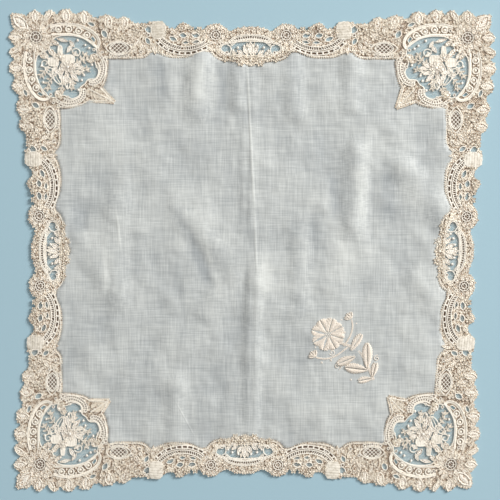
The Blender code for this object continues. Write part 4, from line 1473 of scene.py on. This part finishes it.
def layLinen():
    outline = linenOutline()
    size = 2.0 * (halfSide - border["innerEdge"]) + 2.0
    count = int(size / linen["cell"])
    deselectAll()
    bpy.ops.mesh.primitive_grid_add(x_subdivisions=count, y_subdivisions=count, size=size)
    cloth = bpy.context.object
    cloth.name = "linen_cloth"
    mesh = cloth.data
    pick(cloth, lambda x, y, z: ~insideOf(outline, np.column_stack((x, y))))
    bpy.ops.mesh.select_mode(type="VERT")
    bpy.ops.mesh.delete(type="VERT")
    bpy.ops.mesh.select_all(action="DESELECT")
    bpy.ops.mesh.select_non_manifold()
    bpy.ops.object.mode_set(mode="OBJECT")
    edge = np.empty(len(mesh.vertices), bool)
    mesh.vertices.foreach_get("select", edge)
    spots = spotsOf(mesh)
    snapped = nearestOn(outline, spots[edge][:, :2])
    away = snapped - spots[edge][:, :2]
    away /= np.linalg.norm(away, axis=1)[:, None] + 1e-9
    spots[edge, :2] = snapped + linen["grow"] * away
    scale = 1.0 / linen["wrinkleSize"]
    wrinkles = [noise.fractal((x * scale, y * scale, 3.1), 1.0, 2.0, 3) for x, y, _ in spots]
    spots[:, 2] = linen["low"] + linen["wrinkle"] * np.clip(0.35 + np.array(wrinkles), 0.0, 1.2)
    spots[:, 2] -= ridgeLift(spots[:, 0], spots[:, 1], linen["creases"])
    mesh.vertices.foreach_set("co", layDown(spots).ravel())
    mesh.update()
    wall = cloth.modifiers.new("thickness", "SOLIDIFY")
    wall.thickness = linen["thickness"] * mm
    wall.offset = 1.0
    selectOnly(cloth)
    bpy.ops.object.modifier_apply(modifier=wall.name)
    mesh.materials.append(looks["linen"])
    mesh.shade_smooth()
    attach(cloth, "root")
    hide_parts("linen_centre")
    print("  linen_cloth:", 2 * len(mesh.polygons), "triangles")
    return cloth


seam = {"pitch": 1.5, "stitch": (1.1, 0.2, 0.2), "lift": 0.85}


def stitchSeam():
    # Short stitches over the seam all round the linen
    heap = Heap()
    outline = linenOutline()
    chance = random.Random(7)
    for x, y, degrees in evenly(outline + outline[:1], seam["pitch"]):
        turn = degrees + 90.0 + chance.uniform(-12.0, 12.0)
        heap.stamp("bar", (x, y), seam["stitch"], turn, seam["lift"], chance.uniform(0.4, 0.9))
    piece = heap.makePiece("seam_stitches", ["satin"])
    return piece


# The embroidered flower spray

embroidery = {
    "place": (73.6, -73.4),
    "turn": 45.0,
    "size": 1.28,
    "stem": ((0.0, -24.0), (5.0, -6.0), (-1.0, 9.0)),
    "sideStems": (
        ((2.0, 0.5), (-6.0, 1.6), (-11.6, 4.6), (-15.0, 9.0)),
        ((1.0, 2.4), (7.4, 4.2), (12.0, 7.0), (14.6, 10.5)),
    ),
    "leaves": (
        (6.8, -10.9, 15.0, 6.4, 48.0), (-2.8, -12.2, 13.6, 6.0, 128.0),
        (7.6, -0.8, 12.0, 5.0, 14.0), (-3.8, -4.4, 12.0, 5.0, 158.0),
        (4.2, -19.8, 9.0, 4.0, 34.0), (-3.6, -20.4, 9.0, 4.0, 146.0),
    ),
    "bloom": (-1.0, 14.0, 9.4, 8),
    "buds": ((-15.0, 10.0, 3.6), (14.8, 11.6, 3.6)),
    # x, y, size and where they start, in degrees
    "tendrils": (
        (-9.6, -3.4, 1.5, 250.0), (12.6, 1.6, 1.4, 60.0), (-6.4, 4.6, 1.2, 160.0), (9.6, -16.0, 1.2, 20.0),
    ),
    "seeds": (
        (-11.2, 13.6), (-14.6, 4.6), (10.4, 14.6), (15.0, 7.0),
        (-9.4, -14.6), (11.4, -6.0), (6.6, 8.0), (-10.0, 1.8),
    ),
    "thread": 0.3,
    "pitch": 0.6,
    "padding": 1.0,
    "bed": 0.5,     # top of the linen
}


def satinLeaf(paths, centre, length, width, turn):
    # Slanting stitches from the vein to either edge, over padding
    count = int(length * embroidery["size"] / embroidery["pitch"])
    for i in range(1, count):
        t = i / count
        half = 0.5 * width * math.sin(math.pi * t) ** 0.75 * (1.0 - 0.14 * (i % 3 == 0))
        for side in (-1.0, 1.0):
            path = []
            for share in (0.0, 0.25, 0.5, 0.75, 1.0):
                onVein = onward(centre, length * (t - 0.5) + 0.55 * half * share, turn)
                spot = onward(onVein, side * (0.3 + (half - 0.3) * share), turn + 90.0)
                rise = embroidery["padding"] * math.sin(math.pi * (0.12 + 0.88 * share)) ** 0.6
                path.append((*spot, embroidery["bed"] + rise))
            if half > 0.5:
                paths.append(path)


def raised(path, rise):
    return [(x, y, embroidery["bed"] + rise) for x, y in path]


def seedStitch(x, y, reachX, reachY, low, high):
    return [(x - reachX, y - reachY, low), (x, y, high), (x + reachX, y + reachY, low)]


def onLinen(x, y, z):
    # Where a place of the design is on the linen
    size, turn = embroidery["size"], embroidery["turn"]
    spot = onward(embroidery["place"], x * size, turn)
    return (*onward(spot, y * size, turn + 90.0), z)


def embroider():
    heap = Heap()
    paths = []
    bed = embroidery["bed"]
    for x, y, length, width, degrees in embroidery["leaves"]:
        satinLeaf(paths, (x, y), length, width, degrees)
    bloomX, bloomY, radius, petals = embroidery["bloom"]
    bloom = (bloomX, bloomY)
    for degrees in around(petals, 30.0):
        satinLeaf(paths, onward(bloom, 0.58 * radius, degrees), 0.86 * radius, 0.78 * radius, degrees)
    stem = smoothPath(embroidery["stem"], 12)
    paths += [raised(beside(stem, step), 0.4) for step in (-0.5, 0.0, 0.5)]
    for points in embroidery["sideStems"]:
        paths += [raised(beside(smoothPath(points), step), 0.4) for step in (-0.24, 0.24)]
    paths += [raised(spiral(*row), 0.25) for row in embroidery["tendrils"]]
    for x, y in embroidery["seeds"]:
        paths.append(seedStitch(x, y, 0.7, 0.0, bed, bed + 0.5))
        paths.append(seedStitch(x, y, 0.0, 0.7, bed, bed + 0.5))
    for x, y, size in embroidery["buds"]:
        for degrees in (45.0, 90.0, 135.0):
            satinLeaf(paths, onward((x, y), 0.4 * size, degrees), 1.3 * size, 0.7 * size, degrees)
    for x, y in [bloom] + [onward(bloom, 1.3, degrees) for degrees in around(7)]:
        paths.append(seedStitch(x, y, 0.5, 0.0, 1.3, 1.9))
    laid = [[onLinen(*spot) for spot in path] for path in paths]
    heap.cords(laid, embroidery["thread"], 0.75)
    piece = heap.makePiece("spray_stitches", ["satin"], 80.0)
    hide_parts("embroidered_spray")
    return piece


cloth = layLinen()
print("linen laid")
cornerPlaces = scattered(cornerOutline(), cornerBlocks(), fill["spacing"], fill["margin"], 5)
sidePlaces = scattered(sideOutline(), sideBlocks(), fill["spacing"], fill["margin"], 6)
print("small leaves:", len(cornerPlaces), "in a corner,", len(sidePlaces), "in a side")
for turn in range(4):
    dressCorner(turn, cornerPlaces)
    dressCornerNet(turn)
print("corners dressed")
for turn in range(4):
    dressSide(turn, sidePlaces)
    dressSideNet(turn)
print("sides dressed")
stitchSeam()
embroider()

# Floor, lights and camera

studio = {
    "floorSize": 3.0,
    "cameraCentre": (-0.00145, 0.00036),
    "lens": 100.0,
    "frameWidth": 0.3625,
    "key": {"place": (1.9, 1.2, 1.4), "size": 0.9, "power": 82.0},
    "fill": {"place": (-0.7, -0.3, 1.2), "size": 1.6, "power": 4.0},
    "world": 0.31,
}

deselectAll()
bpy.ops.mesh.primitive_grid_add(x_subdivisions=4, y_subdivisions=4, size=studio["floorSize"])
floor = bpy.context.object
floor.name = "floor"
floor.data.materials.append(looks["floor"])


def addLight(name, place, size, power):
    data = bpy.data.lights.new(name, "AREA")
    data.energy, data.size = power, size
    light = bpy.data.objects.new(name, data)
    light.location = place
    light.rotation_euler = (-Vector(place)).to_track_quat("-Z", "Y").to_euler()
    bpy.context.scene.collection.objects.link(light)


for name in ("key", "fill"):
    addLight(name + "_light", **studio[name])
world = bpy.data.worlds.new("soft_room")
world.use_nodes = True
world.node_tree.nodes["Background"].inputs["Color"].default_value = (1.0, 1.0, 1.0, 1.0)
world.node_tree.nodes["Background"].inputs["Strength"].default_value = studio["world"]
bpy.context.scene.world = world
bpy.context.scene.view_settings.view_transform = "Standard"

cameraData = bpy.data.cameras.new("camera")
cameraData.lens = studio["lens"]
cameraData.sensor_width = 36.0
camera = bpy.data.objects.new("camera", cameraData)
height = studio["frameWidth"] * studio["lens"] / cameraData.sensor_width
camera.location = (*studio["cameraCentre"], height + 0.001)
bpy.context.scene.collection.objects.link(camera)
bpy.context.scene.camera = camera
